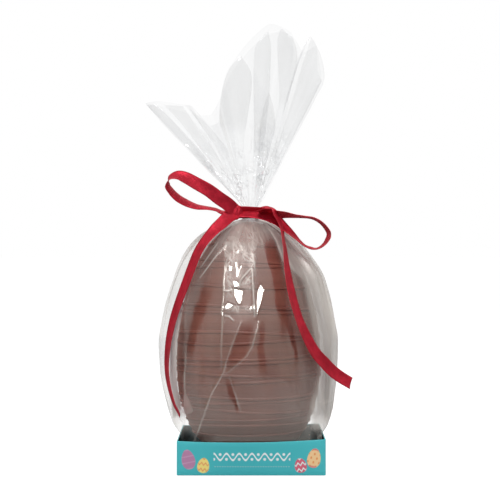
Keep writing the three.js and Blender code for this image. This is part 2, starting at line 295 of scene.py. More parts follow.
def smooth_through(x, places, values):
    """A smooth curve through values at places, without overshooting them."""
    places = np.asarray(places, float)
    values = np.asarray(values, float)
    steps = np.diff(places)
    slopes = np.diff(values) / steps
    tangents = np.concatenate([slopes[:1], (slopes[1:] + slopes[:-1]) / 2, slopes[-1:]])
    turning = np.concatenate([[False], slopes[1:] * slopes[:-1] <= 0, [False]])
    tangents[turning] = 0
    before = np.abs(np.insert(slopes, 0, slopes[0]))
    after = np.abs(np.append(slopes, slopes[-1]))
    limit = 3 * np.minimum(before, after)
    tangents = np.clip(tangents, -limit, limit)
    i = np.clip(np.searchsorted(places, x, side="right") - 1, 0, len(steps) - 1)
    t = np.clip((x - places[i]) / steps[i], 0, 1)
    step = steps[i]
    return hermite(t, values[i], step * tangents[i], values[i + 1], step * tangents[i + 1])


def soft_noise(u, v, seed, cells=TABLE_ROWS):
    """Smooth random values from -1 to 1, with one random value for each whole step of u and v."""
    table = np.random.default_rng(seed).uniform(-1, 1, (cells, cells))
    iu = np.floor(u).astype(int)
    iv = np.floor(v).astype(int)
    fu = eased(u - iu)
    fv = eased(v - iv)
    low, high = (
        table[iu % cells, row % cells] * (1 - fu) + table[(iu + 1) % cells, row % cells] * fu
        for row in (iv, iv + 1)
    )
    return low * (1 - fv) + high * fv


def film_cells(u, v, seed, cells):
    """A warped grid of triangles: each point's cell, and its place across and up the cell."""
    u = u + CELL_WARP * soft_noise(u + 0.5, v * 1.1, seed + 1, cells)
    v = v + CELL_WARP * soft_noise(u, v * 0.9, seed + 2, cells)
    column = np.floor(u).astype(int)
    row = np.floor(v).astype(int)
    return column, row, u - column, v - row


def facets(u, v, seed, cells):
    """Flat random facets between sharp creases, as in stiff film, from -1 to 1.

    There is a corner near each whole step of u and v, and u comes round again after cells steps.
    """
    column, row, across, up = film_cells(u, v, seed, cells)
    table = np.random.default_rng(seed).uniform(-1, 1, (cells, TABLE_ROWS))
    a, b, c, d = (
        table[(column + right) % cells, (row + above) % TABLE_ROWS]
        for right, above in ((0, 0), (1, 0), (0, 1), (1, 1))
    )
    lower = a + across * (b - a) + up * (c - a)
    upper = d + (1 - across) * (c - d) + (1 - up) * (b - d)
    return np.where(across + up < 1, lower, upper)


def crease_net(u, v, seed, cells, width):
    """1 on the creases between the facets of the same seed, and 0 farther from them than width."""
    column, row, across, up = film_cells(u, v, seed, cells)
    from_edge = np.minimum(np.minimum(across, 1 - across), np.minimum(up, 1 - up))
    from_edge = np.minimum(from_edge, np.abs(across + up - 1) * DIAGONAL)
    table = np.random.default_rng(seed + 9).uniform(-0.6, 1, (cells, TABLE_ROWS))
    strength = np.clip(table[column % cells, row % TABLE_ROWS], 0, 1)
    return smooth(from_edge, width, width * 0.3) * strength


def distance_along(x, z, line):
    """How far each point is from a line of (x, z) places, and its place along it from 0 to 1."""
    nearest = np.full(x.shape, np.inf)
    along = np.zeros(x.shape)
    spans = [math.dist(a, b) for a, b in zip(line, line[1:])]
    passed = 0.0
    for (ax, az), (bx, bz), span in zip(line, line[1:], spans):
        t = np.clip(((x - ax) * (bx - ax) + (z - az) * (bz - az)) / span**2, 0, 1)
        distance = np.hypot(x - ax - t * (bx - ax), z - az - t * (bz - az))
        closer = distance < nearest
        nearest = np.where(closer, distance, nearest)
        along = np.where(closer, (passed + t * span) / sum(spans), along)
        passed += span
    return nearest, along


def path_point(points, place):
    """The point and the run at a place, from 0 to 1, on the smooth curve through points."""
    last = len(points) - 1
    first = min(int(place * last), last - 1)
    t = place * last - first
    p1, p2 = points[first], points[first + 1]
    p0 = points[first - 1] if first > 0 else 2 * p1 - p2
    p3 = points[first + 2] if first + 2 <= last else 2 * p2 - p1
    pairs = ((p0, p1), (p1, p2), (p2, p3))
    d0, d1, d2 = (max(np.linalg.norm(b - a), 1e-6) ** 0.5 for a, b in pairs)
    m1 = ((p1 - p0) / d0 - (p2 - p0) / (d0 + d1) + (p2 - p1) / d1) * d1
    m2 = ((p2 - p1) / d1 - (p3 - p1) / (d1 + d2) + (p3 - p2) / d2) * d1
    c2 = 3 * (p2 - p1) - 2 * m1 - m2
    c3 = 2 * (p1 - p2) + m1 + m2
    point = p1 + t * (m1 + t * (c2 + t * c3))
    run = m1 + t * (2 * c2 + t * 3 * c3)
    return point, run / np.linalg.norm(run)


# ---------------------------------------------------------------- meshes


def add_object(name, data):
    """A new object of the scene, made of a mesh, lamp or camera."""
    thing = bpy.data.objects.new(name, data)
    bpy.context.scene.collection.objects.link(thing)
    return thing


def add_mesh(name, points, faces, material):
    """A smooth piece in the material, from points in millimetres."""
    mesh = bpy.data.meshes.new(name)
    mesh.from_pydata((np.asarray(points).reshape(-1, 3) * MM).tolist(), [], faces)
    mesh.validate()
    mesh.shade_smooth()
    mesh.materials.append(material)
    return add_object(name, mesh)


def around(axis_x, radius, angle, z):
    """A grid of points at a radius from an upright axis."""
    return np.stack([axis_x + radius * np.cos(angle), radius * np.sin(angle), z], axis=2)


def grid_faces(rows, columns, wrap=False):
    """Quads between the points of a grid, joined into a tube where wrap is true."""
    faces = []
    for row in range(rows - 1):
        for column in range(columns if wrap else columns - 1):
            following = (column + 1) % columns
            a, b = row * columns + column, row * columns + following
            faces.append((a, b, b + columns, a + columns))
    return faces


def capped_faces(rows, columns, top=True):
    """A tube's quads, with one face across its foot and, where top is true, one across its top."""
    faces = grid_faces(rows, columns, wrap=True)
    faces.append(tuple(reversed(range(columns))))
    if top:
        faces.append(tuple(range((rows - 1) * columns, rows * columns)))
    return faces


def ring_faces(rows, columns, wrap=False, start=0):
    """Quads of a grid whose last row joins its first, for points that are numbered from start."""
    count = rows * columns
    quads = grid_faces(rows + 1, columns, wrap)
    return [tuple(start + corner % count for corner in quad) for quad in quads]


def add_uv(piece, uv):
    """Gives each vertex of the piece its (u, v)."""
    layer = piece.data.uv_layers.new(name="UVMap")
    corners = np.zeros(len(piece.data.loops), int)
    piece.data.loops.foreach_get("vertex_index", corners)
    layer.data.foreach_set("uv", np.asarray(uv, float)[corners].ravel())


def add_attribute(piece, name, values):
    """Stores one number for each vertex, for a material to read."""
    attribute = piece.data.attributes.new(name, "FLOAT", "POINT")
    attribute.data.foreach_set("value", np.asarray(values, np.float32).ravel())


def dress(piece, node):
    """The piece rides the body and stands for the CAD node, which it hides."""
    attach(piece, "root")
    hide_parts(node)


# ---------------------------------------------------------------- colours and finishes

# Noises are (scale, detail, roughness), and bumps are (depth in metres, strength).

CHOCOLATE_DARK = (0.198, 0.053, 0.034)
CHOCOLATE_LIGHT = (0.246, 0.072, 0.046)
CHOCOLATE_GLOSS = 0.45
CHOCOLATE_SMOOTHEST = 0.42
CHOCOLATE_ROUGHEST = 0.54
BLOOM_NOISE = (38.0, 4.0, 0.55)
SMEAR_NOISE = (30.0, 3.0, 0.6)
SMEAR_STRETCH = (0.25, 0.25, 12.0)
SMEAR_BUMP = (0.0012, 0.2)
DENT_NOISE = (120.0, 3.0, 0.55)
DENT_BUMP = (0.0005, 0.35)
GRAIN_NOISE = (900.0, 2.0, 0.5)
GRAIN_BUMP = (0.0001, 0.35)

FILM_TINT = (0.982, 0.984, 0.985)
FILM_COLOUR = (0.93, 0.885, 0.82)
FILM_DEEP = (0.62, 0.57, 0.53)
TOP_FILM_COLOUR = (0.82, 0.83, 0.86)
# How much of a mirror the film is, and how rough: in one layer, and where it lies deep.
FILM_MIRROR = (0.7, 0.25)
FILM_ROUGHNESS = (0.09, 0.38)
WRINKLE_NOISE = (150.0, 1.0, 0.5)
WRINKLE_STRETCH = (1.0, 1.0, 0.35)
WRINKLE_BUMP = (0.0006, 0.25)
# What the film takes more of the light where it is seen edge on, and the most that it takes.
EDGE_POWER = 2.0
EDGE_COVER = 0.42
MOST_COVER = 0.94

RIBBON_DARK = (0.40, 0.010, 0.026)
RIBBON_LIGHT = (0.56, 0.017, 0.040)
RIBBON_EDGE = (0.56, 0.03, 0.05)
RIBBON_SHEEN = (1.0, 0.45, 0.50)
RIBBON_METAL = 0.55
RIBBON_ROUGHNESS = 0.40
RIBBON_GLOSS = 0.7
RIBBON_STREAK = 0.45
RIB_PITCH = 0.32
THREADS_ACROSS = 24
# Where the selvedge starts and is full, from the ribbon's middle line as a share of its width.
SELVEDGE = (0.44, 0.475)
DYE_NOISE = (140.0, 3.0, 0.6)
WEAVE_BUMP = (0.00003, 0.8)

CARD_DARK = (0.062, 0.515, 0.57)
CARD_LIGHT = (0.071, 0.56, 0.61)
# The tray's inside: its teal painted much darker, as painted shade for the shade inside the tray.
CARD_SHADE_DARK = (0.004, 0.06, 0.085)
CARD_SHADE_LIGHT = (0.005, 0.075, 0.10)
CARD_ROUGHNESS = 0.42
CARD_GLOSS = 0.4
INK_NOISE = (25.0, 2.0, 0.5)
WARP_NOISE = (60.0, 2.0, 0.5)
WARP_BUMP = (0.0004, 0.15)
FIBRE_NOISE = (1400.0, 3.0, 0.6)
FIBRE_BUMP = (0.00004, 0.35)

INK_WHITE = (0.90, 0.95, 0.95)
INK_PALE = (0.45, 0.66, 0.67)
INK_PINK = (0.53, 0.25, 0.43)
INK_PINK_DEEP = (0.60, 0.34, 0.52)
INK_YELLOW = (1.0, 0.80, 0.25)
INK_ORANGE = (0.90, 0.36, 0.12)
INK_RED = (0.76, 0.15, 0.22)
INK_PEACH = (1.0, 0.66, 0.34)

# ---------------------------------------------------------------- material graphs


class Graph:
    """The nodes of one material or world. Values are numbers, colours or another node's output."""

    def __init__(self, name, is_world=False):
        owners = bpy.data.worlds if is_world else bpy.data.materials
        self.owner = owners.new(name)
        self.owner.use_nodes = True
        self.nodes = self.owner.node_tree.nodes
        self.links = self.owner.node_tree.links
        self.nodes.clear()
        self.output = self.add("OutputWorld" if is_world else "OutputMaterial")

    def feed(self, socket, value):
        """Links a node's output to the socket, or sets the socket to a number or colour."""
        if isinstance(value, bpy.types.NodeSocket):
            self.links.new(value, socket)
        elif isinstance(value, tuple) and len(value) == 3 and socket.type == "RGBA":
            socket.default_value = (*value, 1.0)
        else:
            socket.default_value = value

    def add(self, kind, settings=None, **values):
        """Adds a node; a value goes to the input of that name, with _ for a space."""
        node = self.nodes.new("ShaderNode" + kind)
        for key, value in (settings or {}).items():
            setattr(node, key, value)
        for key, value in values.items():
            self.feed(node.inputs[key.replace("_", " ")], value)
        return node

    def feed_all(self, node, values):
        """Feeds the node's inputs in their order, and gives the node's first output."""
        for socket, value in zip(node.inputs, values):
            self.feed(socket, value)
        return node.outputs[0]

    def math(self, operation, *values):
        return self.feed_all(self.add("Math", {"operation": operation}), values)

    def plus(self, first, second):
        return self.math("ADD", first, second)

    def minus(self, first, second):
        return self.math("SUBTRACT", first, second)

    def times(self, first, second):
        return self.math("MULTIPLY", first, second)

    def divided(self, first, second):
        return self.math("DIVIDE", first, second)

    def absolute(self, value):
        return self.math("ABSOLUTE", value)

    def between(self, value, low, high, to_low=0.0, to_high=1.0):
        """Maps value from low..high to to_low..to_high, softly and without going past them."""
        node = self.add("MapRange", {"interpolation_type": "SMOOTHSTEP"})
        return self.feed_all(node, (value, low, high, to_low, to_high))

    def mix_colour(self, share, first, second):
        node = self.add("Mix", {"data_type": "RGBA"})
        self.feed(node.inputs[0], share)
        self.feed(node.inputs[6], first)
        self.feed(node.inputs[7], second)
        return node.outputs[2]

    def mix_shader(self, share, first, second):
        """Mixes two nodes' shaders, and gives the node that does."""
        node = self.add("MixShader")
        self.feed_all(node, (share, first.outputs[0], second.outputs[0]))
        return node

    def place(self):
        """Where the point is in the object's own frame, in metres."""
        return self.add("TexCoord").outputs["Object"]

    def stretched(self, scale):
        return self.add("Mapping", Scale=scale, Vector=self.place()).outputs[0]

    def split(self, vector):
        """The x, y and z of a vector."""
        return self.add("SeparateXYZ", Vector=vector).outputs

    def attribute(self, name):
        """The number that each vertex of the mesh carries under that name."""
        return self.add("Attribute", {"attribute_name": name}).outputs["Fac"]

    def noise(self, scale, detail, roughness, vector=None):
        node = self.add("TexNoise", Scale=scale, Detail=detail, Roughness=roughness)
        self.feed(node.inputs["Vector"], vector or self.place())
        return node.outputs[0]

    def bump(self, height, distance, strength, normal=None):
        node = self.add("Bump", Height=height, Distance=distance, Strength=strength)
        if normal:
            self.feed(node.inputs["Normal"], normal)
        return node.outputs[0]

    def finish(self, shader):
        """Puts the node's shader on the surface, and gives the finished material or world."""
        self.links.new(shader.outputs[0], self.output.inputs["Surface"])
        return self.owner


def chocolate_material():
    """Satin milk chocolate: faint cloudy bloom and a fine, slightly uneven surface."""
    graph = Graph("chocolate")
    bloom = graph.noise(*BLOOM_NOISE)
    smears = graph.noise(*SMEAR_NOISE, graph.stretched(SMEAR_STRETCH))
    tone = graph.between(graph.times(graph.plus(bloom, smears), 0.5), 0.38, 0.62)
    normal = graph.bump(graph.noise(*DENT_NOISE), *DENT_BUMP)
    normal = graph.bump(smears, *SMEAR_BUMP, normal)
    normal = graph.bump(graph.noise(*GRAIN_NOISE), *GRAIN_BUMP, normal)
    shader = graph.add(
        "BsdfPrincipled",
        Base_Color=graph.mix_colour(tone, CHOCOLATE_DARK, CHOCOLATE_LIGHT),
        Roughness=graph.between(bloom, 0.3, 0.7, CHOCOLATE_SMOOTHEST, CHOCOLATE_ROUGHEST),
        Specular_IOR_Level=CHOCOLATE_GLOSS,
        Normal=normal,
    )
    return graph.finish(shader)


def film_material(name, thin_colour):
    """Clear film: where it covers more, by its folds and crinkles, it mirrors the studio more.

    The attribute cover is the share of light that the film takes from what is behind it. Deep is 1
    where it lies in several crumpled layers, and cling is 1 where it lies flat on the egg. Cling is
    also high in the tray's corners, where the clear film lets the painted shade inside the tray
    show, and at the bag's left edge.
    """
    graph = Graph(name)
    wrinkle = graph.noise(*WRINKLE_NOISE, graph.stretched(WRINKLE_STRETCH))
    normal = graph.bump(wrinkle, *WRINKLE_BUMP)
    facing = graph.add("LayerWeight", Blend=0.5, Normal=normal).outputs["Facing"]
    loose = graph.minus(1.0, graph.attribute("cling"))
    edge = graph.times(graph.times(graph.math("POWER", facing, EDGE_POWER), EDGE_COVER), loose)
    cover = graph.math("MINIMUM", graph.plus(graph.attribute("cover"), edge), MOST_COVER)
    deep = graph.attribute("deep")
    surface = graph.add(
        "BsdfPrincipled",
        Base_Color=graph.mix_colour(deep, thin_colour, FILM_DEEP),
        Metallic=graph.between(deep, 0.0, 0.5, *FILM_MIRROR),
        Roughness=graph.between(deep, 0.0, 0.5, *FILM_ROUGHNESS),
        Normal=normal,
    )
    clear = graph.add("BsdfTransparent", Color=FILM_TINT)
    return graph.finish(graph.mix_shader(cover, clear, surface))


def ribbon_material():
    """Red satin: fine weft ribs across the ribbon, which make the sheen run along it."""
    graph = Graph("satin_ribbon")
    along_mm, across_share, _ = graph.split(graph.add("TexCoord").outputs["UV"])
    ribs = graph.math("SINE", graph.times(along_mm, FULL_TURN / RIB_PITCH))
    threads = graph.math("SINE", graph.times(across_share, FULL_TURN * THREADS_ACROSS))
    weave = graph.plus(graph.times(ribs, 0.5), graph.times(threads, 0.25))
    selvedge = graph.between(graph.absolute(graph.minus(across_share, 0.5)), *SELVEDGE)
    uneven = graph.between(graph.noise(*DYE_NOISE), 0.3, 0.7)
    middle = graph.mix_colour(uneven, RIBBON_DARK, RIBBON_LIGHT)
    height = graph.plus(weave, graph.times(selvedge, 2.5))
    shader = graph.add(
        "BsdfPrincipled",
        Base_Color=graph.mix_colour(graph.times(selvedge, 0.45), middle, RIBBON_EDGE),
        Metallic=RIBBON_METAL,
        Roughness=RIBBON_ROUGHNESS,
        Anisotropic=RIBBON_STREAK,
        Specular_IOR_Level=RIBBON_GLOSS,
        Specular_Tint=RIBBON_SHEEN,
        Normal=graph.bump(height, *WEAVE_BUMP),
    )
    return graph.finish(shader)


def card_colour(graph, dark, light):
    """One ink over the card, faintly cloudy."""
    return graph.mix_colour(graph.noise(*INK_NOISE), dark, light)


def card_shader(graph, colour):
    """Smooth printed card over the colour: a satin coat and a faint fibrous surface."""
    normal = graph.bump(graph.noise(*WARP_NOISE), *WARP_BUMP)
    shader = graph.add(
        "BsdfPrincipled",
        Base_Color=colour,
        Roughness=CARD_ROUGHNESS,
        Specular_IOR_Level=CARD_GLOSS,
        Normal=graph.bump(graph.noise(*FIBRE_NOISE), *FIBRE_BUMP, normal),
    )
    return graph.finish(shader)


def card_material(name, dark, light):
    """Card that is printed all over in one ink."""
    graph = Graph(name)
    return card_shader(graph, card_colour(graph, dark, light))


# ---------------------------------------------------------------- the print on the tray's front

PRINT_SOFT = 0.28
# The painted eggs: centre, radii and lean in degrees.
PINK_EGG = ((-44.6, 11.4), (4.7, 7.0), -12)
YELLOW_EGG = ((-33.9, 7.2), (4.2, 5.4), 8)
RED_EGG = ((34.9, 7.2), (4.2, 5.2), -10)
PEACH_EGG = ((44.4, 12.4), (4.7, 6.8), 10)
PAINTED_TAPER = 0.16
WAVE_CENTRE = (0.5, 13.4)
WAVE_HALF_LENGTH = 27.0
WAVE_PITCH = 9.0
WAVE_HEIGHT = 2.3
WAVE_LINE = 0.75
DOT_RADIUS = 1.0
DOT_HEIGHT = 0.75 * WAVE_HEIGHT
BEAD_PITCH = 1.8
BEAD_RADIUS = 0.38
BEAD_HEIGHT = 6.4


class Print(Graph):
    """A flat print on the XZ plane: shapes laid over one another, each in its own ink."""

    def __init__(self, name):
        super().__init__(name)
        self.colour = card_colour(self, CARD_DARK, CARD_LIGHT)

    def lay(self, mask, ink):
        """Prints the ink over what is there, where the mask is 1."""
        self.colour = self.mix_colour(mask, self.colour, ink)

    def local(self, centre, radii, tilt=0.0):
        """x and z seen from a motif's centre, with its radii as the units, in millimetres."""
        node = self.add(
            "Mapping",
            {"vector_type": "TEXTURE"},
            Vector=self.place(),
            Location=(centre[0] * MM, 0, centre[1] * MM),
            Rotation=(0, math.radians(tilt), 0),
            Scale=(radii[0] * MM, 1, radii[1] * MM),
        )
        x, _, z = self.split(node.outputs[0])
        return x, z

    def disc(self, x, z, soft):
        """1 inside the unit circle and 0 outside it, with an edge as wide as soft."""
        radius = self.math("SQRT", self.plus(self.times(x, x), self.times(z, z)))
        return self.between(radius, 1 - soft, 1 + soft, 1.0, 0.0)

    def egg(self, centre, radii, tilt):
        """A small egg's mask, and its own x and z."""
        x, z = self.local(centre, radii, tilt)
        taper = self.plus(1.0, self.times(z, PAINTED_TAPER))
        return self.disc(self.times(x, taper), z, PRINT_SOFT / radii[0]), x, z

    def off_middle(self, value):
        """How far the value is from the middle of its whole step, from -0.5 to 0.5."""
        return self.minus(self.math("FRACT", value), 0.5)

    def bands(self, z, count, share):
        """Bands: count of them in each unit of z, filling that share of it."""
        off = self.absolute(self.off_middle(self.times(z, count)))
        return self.between(off, share / 2 - 0.06, share / 2 + 0.06, 1.0, 0.0)

    def zigzag(self, x, z, count, depth):
        """z moved up and down by a zigzag along x, which makes level bands zigzag too."""
        wave = self.times(self.absolute(self.off_middle(self.times(x, count))), depth)
        return self.plus(z, wave)

    def spots(self, x, z, count, size):
        """Round spots on a square grid turned by 45 degrees."""
        u = self.off_middle(self.times(self.plus(x, z), count))
        v = self.off_middle(self.times(self.minus(x, z), count))
        return self.disc(self.divided(u, size), self.divided(v, size), 0.3)

    def dot_row(self, x, z, pitch, shift, height, radius, soft):
        """Round dots in a level row, moved along it by shift as a share of their pitch."""
        along = self.off_middle(self.plus(self.divided(x, pitch), shift))
        up = self.divided(self.minus(z, height), radius)
        return self.disc(self.times(along, pitch / radius), up, soft)


def lay_garland(graph):
    """A white wavy line with a dot in each of its bends, over a row of fine beads."""
    x, z = graph.local(WAVE_CENTRE, (1, 1))
    end = WAVE_HALF_LENGTH
    length = graph.between(graph.absolute(x), end, end + PRINT_SOFT, 1.0, 0.0)
    swing = graph.math("COSINE", graph.times(x, FULL_TURN / WAVE_PITCH))
    off = graph.absolute(graph.minus(z, graph.times(swing, WAVE_HEIGHT)))
    line = graph.between(off, WAVE_LINE - PRINT_SOFT, WAVE_LINE + PRINT_SOFT, 1.0, 0.0)
    graph.lay(graph.times(length, line), INK_WHITE)
    for shift, height in ((1.0, DOT_HEIGHT), (0.5, -DOT_HEIGHT)):
        dots = graph.dot_row(x, z, WAVE_PITCH, shift, height, DOT_RADIUS, 0.25)
        graph.lay(graph.times(length, dots), INK_WHITE)
    beads = graph.dot_row(x, z, BEAD_PITCH, 0.0, BEAD_HEIGHT - WAVE_CENTRE[1], BEAD_RADIUS, 0.4)
    graph.lay(graph.times(length, beads), INK_PALE)


def printed_card_material():
    """Teal card with four small decorated eggs and a plain white garland."""
    graph = Print("tray_print")
    mask, x, z = graph.egg(*PINK_EGG)
    graph.lay(mask, INK_PINK)
    graph.lay(graph.times(mask, graph.bands(z, 1.6, 0.2)), INK_PINK_DEEP)
    mask, x, z = graph.egg(*YELLOW_EGG)
    graph.lay(mask, INK_YELLOW)
    graph.lay(graph.times(mask, graph.bands(graph.zigzag(x, z, 1.5, 0.7), 1.3, 0.24)), INK_ORANGE)
    mask, x, z = graph.egg(*RED_EGG)
    graph.lay(mask, INK_RED)
    graph.lay(graph.times(mask, graph.bands(graph.zigzag(x, z, 1.3, 0.8), 1.25, 0.3)), INK_WHITE)
    mask, x, z = graph.egg(*PEACH_EGG)
    graph.lay(mask, INK_PEACH)
    graph.lay(graph.times(mask, graph.spots(x, z, 1.15, 0.22)), INK_ORANGE)
    graph.lay(graph.times(mask, graph.bands(z, 0.5, 0.16)), INK_RED)
    lay_garland(graph)
    return card_shader(graph, graph.colour)


CHOCOLATE = chocolate_material()
FILM = film_material("clear_film", FILM_COLOUR)
TOP_FILM = film_material("clear_film_top", TOP_FILM_COLOUR)
SATIN = ribbon_material()

# ---------------------------------------------------------------- tray

TRAY_CORNER_STEPS = 8
TRAY_SIDE_STEPS = 40
TRAY_WALL_STEPS = 8
FOOT_STEPS = 3
LIP_STEPS = 6
FOOT_ROUNDING = 0.5
INNER_CORNER_RADIUS = 0.5
PLAIN_CARD, PRINTED_CARD, SHADED_INNER_CARD = range(3)


def tray_outline(half, radius):
    """One level outline of the tray, anticlockwise from where its +X side meets a corner."""
    flat = half - radius
    quarter = []
    for step in range(TRAY_CORNER_STEPS + 1):
        angle = step / TRAY_CORNER_STEPS * math.pi / 2
        quarter.append((flat + radius * math.cos(angle), flat + radius * math.sin(angle)))
    for step in range(1, TRAY_SIDE_STEPS):
        quarter.append((flat * (1 - 2 * step / TRAY_SIDE_STEPS), half))
    outline = []
    for corner in range(4):
        turn = corner * math.pi / 2
        cos, sin = math.cos(turn), math.sin(turn)
        outline += [(x * cos - y * sin, x * sin + y * cos) for x, y in quarter]
    return np.array(outline)


def tray_ring(inset, height):
    """The tray's outline, inset from its outer face, with its panels bulged and its edge tilted."""
    half = TRAY_HALF - inset
    x, y = tray_outline(half, max(CORNER_RADIUS - inset, INNER_CORNER_RADIUS)).T
    rise = height / TRAY_HEIGHT
    middle = 1 - (x / half) ** 2
    on_panel = np.abs(y) > half - 1e-6
    bulge = on_panel * PANEL_BULGE * middle * rise
    edge = rise**3 * (TRAY_TILT * x / half - on_panel * PANEL_DIP * middle)
    return np.stack([x, y + np.sign(y) * bulge, height + edge], axis=1)


def tray_rings():
    """Up the outside, over the folded lip and down the inside to the floor."""
    rings = []
    for step in range(FOOT_STEPS + 1):
        angle = step / FOOT_STEPS * math.pi / 2
        rings.append((FOOT_ROUNDING * (1 - math.sin(angle)), FOOT_ROUNDING * (1 - math.cos(angle))))
    lip = CARD / 2
    for height in np.linspace(FOOT_ROUNDING, TRAY_HEIGHT - lip, TRAY_WALL_STEPS)[1:]:
        rings.append((0, height))
    for step in range(1, LIP_STEPS + 1):
        angle = step / LIP_STEPS * math.pi
        rings.append((lip * (1 - math.cos(angle)), TRAY_HEIGHT - lip + lip * math.sin(angle)))
    for height in np.linspace(TRAY_HEIGHT - lip, CARD, TRAY_WALL_STEPS)[1:]:
        rings.append((CARD, height))
    return np.array([tray_ring(inset, height) for inset, height in rings])


def card_of_face(centre, normal):
    """Which of the tray's materials a face takes."""
    if centre[1] < -TRAY_HALF + 0.1 and normal[1] < -0.9:
        return PRINTED_CARD
    inward = np.dot(centre[:2], normal[:2]) < 0
    on_floor = centre[2] > BAG_BASE - 0.6 and normal[2] > 0.9
    if (inward or on_floor) and 0.2 < centre[2] < TRAY_HEIGHT - CARD:
        return SHADED_INNER_CARD
    return PLAIN_CARD


def make_tray():
    """The open card tray, plain outside, printed in front, and inside painted dark as shade."""
    rings = tray_rings()
    faces = capped_faces(*rings.shape[:2])
    piece = add_mesh("tray_shell", rings, faces, card_material("tray_card", CARD_DARK, CARD_LIGHT))
    piece.data.materials.append(printed_card_material())
    # The inside faces take the card painted dark as shade.
    inner_card = card_material("tray_card_painted_shade", CARD_SHADE_DARK, CARD_SHADE_LIGHT)
    piece.data.materials.append(inner_card)
    for face in piece.data.polygons:
        face.material_index = card_of_face(np.array(face.center) / MM, np.array(face.normal))
    dress(piece, "tray")


# ---------------------------------------------------------------- egg

EGG_ROWS = 150
EGG_COLUMNS = 240
EGG_TOP = EGG_BASE + EGG_HEIGHT * (1 - EGG_FLAT)
# The shell's form: its width at the middle, how it tapers upwards and how full its ends are.
EGG_WIDTH = 0.975
EGG_TAPER = 0.122
EGG_FULLNESS = 0.06
EGG_WAVES = 0.18
THREAD_STEPS = 300
THREAD_SIDES = 8


def egg_radius(height):
    """The shell's radius at a height: a circle drawn out towards the top."""
    place = np.clip(2 * ((height - EGG_BASE) / EGG_HEIGHT + EGG_FLAT) - 1, -1, 1)
    form = EGG_WIDTH - EGG_TAPER * place + EGG_FULLNESS * place * place
    return EGG_RADIUS * np.sqrt(1 - place * place) * form


def make_egg_shell():
    """The egg without its threads, very slightly uneven."""
    share = np.linspace(0, 1, EGG_ROWS)
    heights = EGG_BASE + (EGG_TOP - EGG_BASE) * (1 - np.cos(share * math.pi)) / 2
    angles = np.linspace(0, FULL_TURN, EGG_COLUMNS, endpoint=False)
    height, angle = np.meshgrid(heights, angles, indexing="ij")
    radius = egg_radius(height)
    waves = soft_noise(angle / FULL_TURN * 10, height / 14, seed=3, cells=10)
    radius = radius + EGG_WAVES * waves * smooth(radius, 10, 30)
    points = around(EGG_X, radius, angle, height)
    piece = add_mesh("egg_shell", points, capped_faces(EGG_ROWS, EGG_COLUMNS), CHOCOLATE)
    dress(piece, "egg")


def thread_points(height, slope, sway, seed):
    """A tube laid on the shell along one thread, thicker and thinner as drizzle is."""
    angle = np.linspace(0, FULL_TURN, THREAD_STEPS, endpoint=False)
    turns = angle / FULL_TURN
    wobble = 0.35 * soft_noise(turns * 9, 0 * turns, seed, cells=9)
    centre = height + slope * np.cos(angle) + sway * np.sin(2 * angle + height) + wobble
    size = 1 + 0.22 * soft_noise(turns * 14, 0 * turns, seed + 50, cells=14)
    side = np.linspace(0, FULL_TURN, THREAD_SIDES, endpoint=False)
    across = THREAD_HALF_WIDTH * 1.3 * size[:, None] * np.cos(side)[None, :]
    out = THREAD_RISE * size[:, None] * (0.2 + 0.8 * np.sin(side)[None, :])
    slope_at = (egg_radius(centre + 0.5) - egg_radius(centre - 0.5))[:, None]
    along = np.sqrt(1 + slope_at**2)
    z = centre[:, None] + (across + out * -slope_at) / along
    radius = egg_radius(centre)[:, None] + (across * slope_at + out) / along
    return around(EGG_X, radius, angle[:, None], z)


def make_egg_threads():
    """All threads as one piece of closed rings."""
    rings = []
    faces = []
    for number, thread in enumerate(THREADS):
        start = number * THREAD_STEPS * THREAD_SIDES
        rings.append(thread_points(*thread, seed=number + 10))
        faces += ring_faces(THREAD_STEPS, THREAD_SIDES, wrap=True, start=start)
    piece = add_mesh("egg_threads", np.concatenate(rings), faces, CHOCOLATE)
    dress(piece, "egg")


# ---------------------------------------------------------------- film bag

BODY_COLUMNS = 440
# The rows of the bag's mesh: from and to a height, and how many.
BODY_ROWS = [(BAG_BASE, 4.5, 6), (4.5, 108, 83), (108, 168, 101), (168, NECK_TOP, 35)]
# How much closer together the columns of the mesh lie at the front than at the sides.
FRONT_DENSITY = 0.38
# How far the film stays from the egg's shell.
CLEARANCE = THREAD_RISE + 0.55
# Zones over which a share rises, or rises and falls: heights, x or z in millimetres, or how far
# towards +X from the bag's middle, where 1 is its side.
DRAWN_IN_SIDE = (0.2, 0.8)
DRAWN_IN_HEIGHTS = (138, 162, 176, NECK_BOTTOM)
GATHER_HEIGHTS = (95, 172, 174, NECK_BOTTOM + 1)
PANEL_HEIGHTS = (28, 50, 168, 181)
FACING_FRONT = (0.1, 0.5)
PATCH_X = (-20.5, -18, 2, 4.5)
PATCH_Z = (114, 118, 160, 168)
BARE_X = (-8.5, -7, 0.5, 2)
BARE_Z = (119, 120.5, 130, 133)
DULL_X = (-20.5, -18, 3.5, 5.5)
DULL_Z = (98, 104, 160, 168)
DOME_HEIGHTS = (156, 166)
FOOT_HEIGHTS = (56, 40)
ABOVE_TRAY = (27, 34)
CLING_TOP = (178, 168)
CORNER_HEIGHTS = (32, 26)
OUTER_LEFT = (0.86, 0.91)
LOWER_HEIGHTS = (75, 35)
UPPER_HEIGHTS = (135, 155)
NEAR_TRAY = (46, 36)
SHOULDER_HEIGHTS = (148, 174)
# Patterns round the bag: how many there are round it, and their height.
BROAD_PANELS = (22, 75)
NARROW_PANELS = (50, 50)
TALL_CRINKLES = (46, 26)
SMALL_CRINKLES = (90, 7)
STREAKS = (110, 60)
GATHERS = 13
GATHER_DEPTH = 1.5
PLEAT_PLACE = -0.75
PLEAT_DEPTH = 0.65
# How far from a fold's line its crest thickens the film: none, and full.
CREST_WIDTHS = (0.9, 0.2)

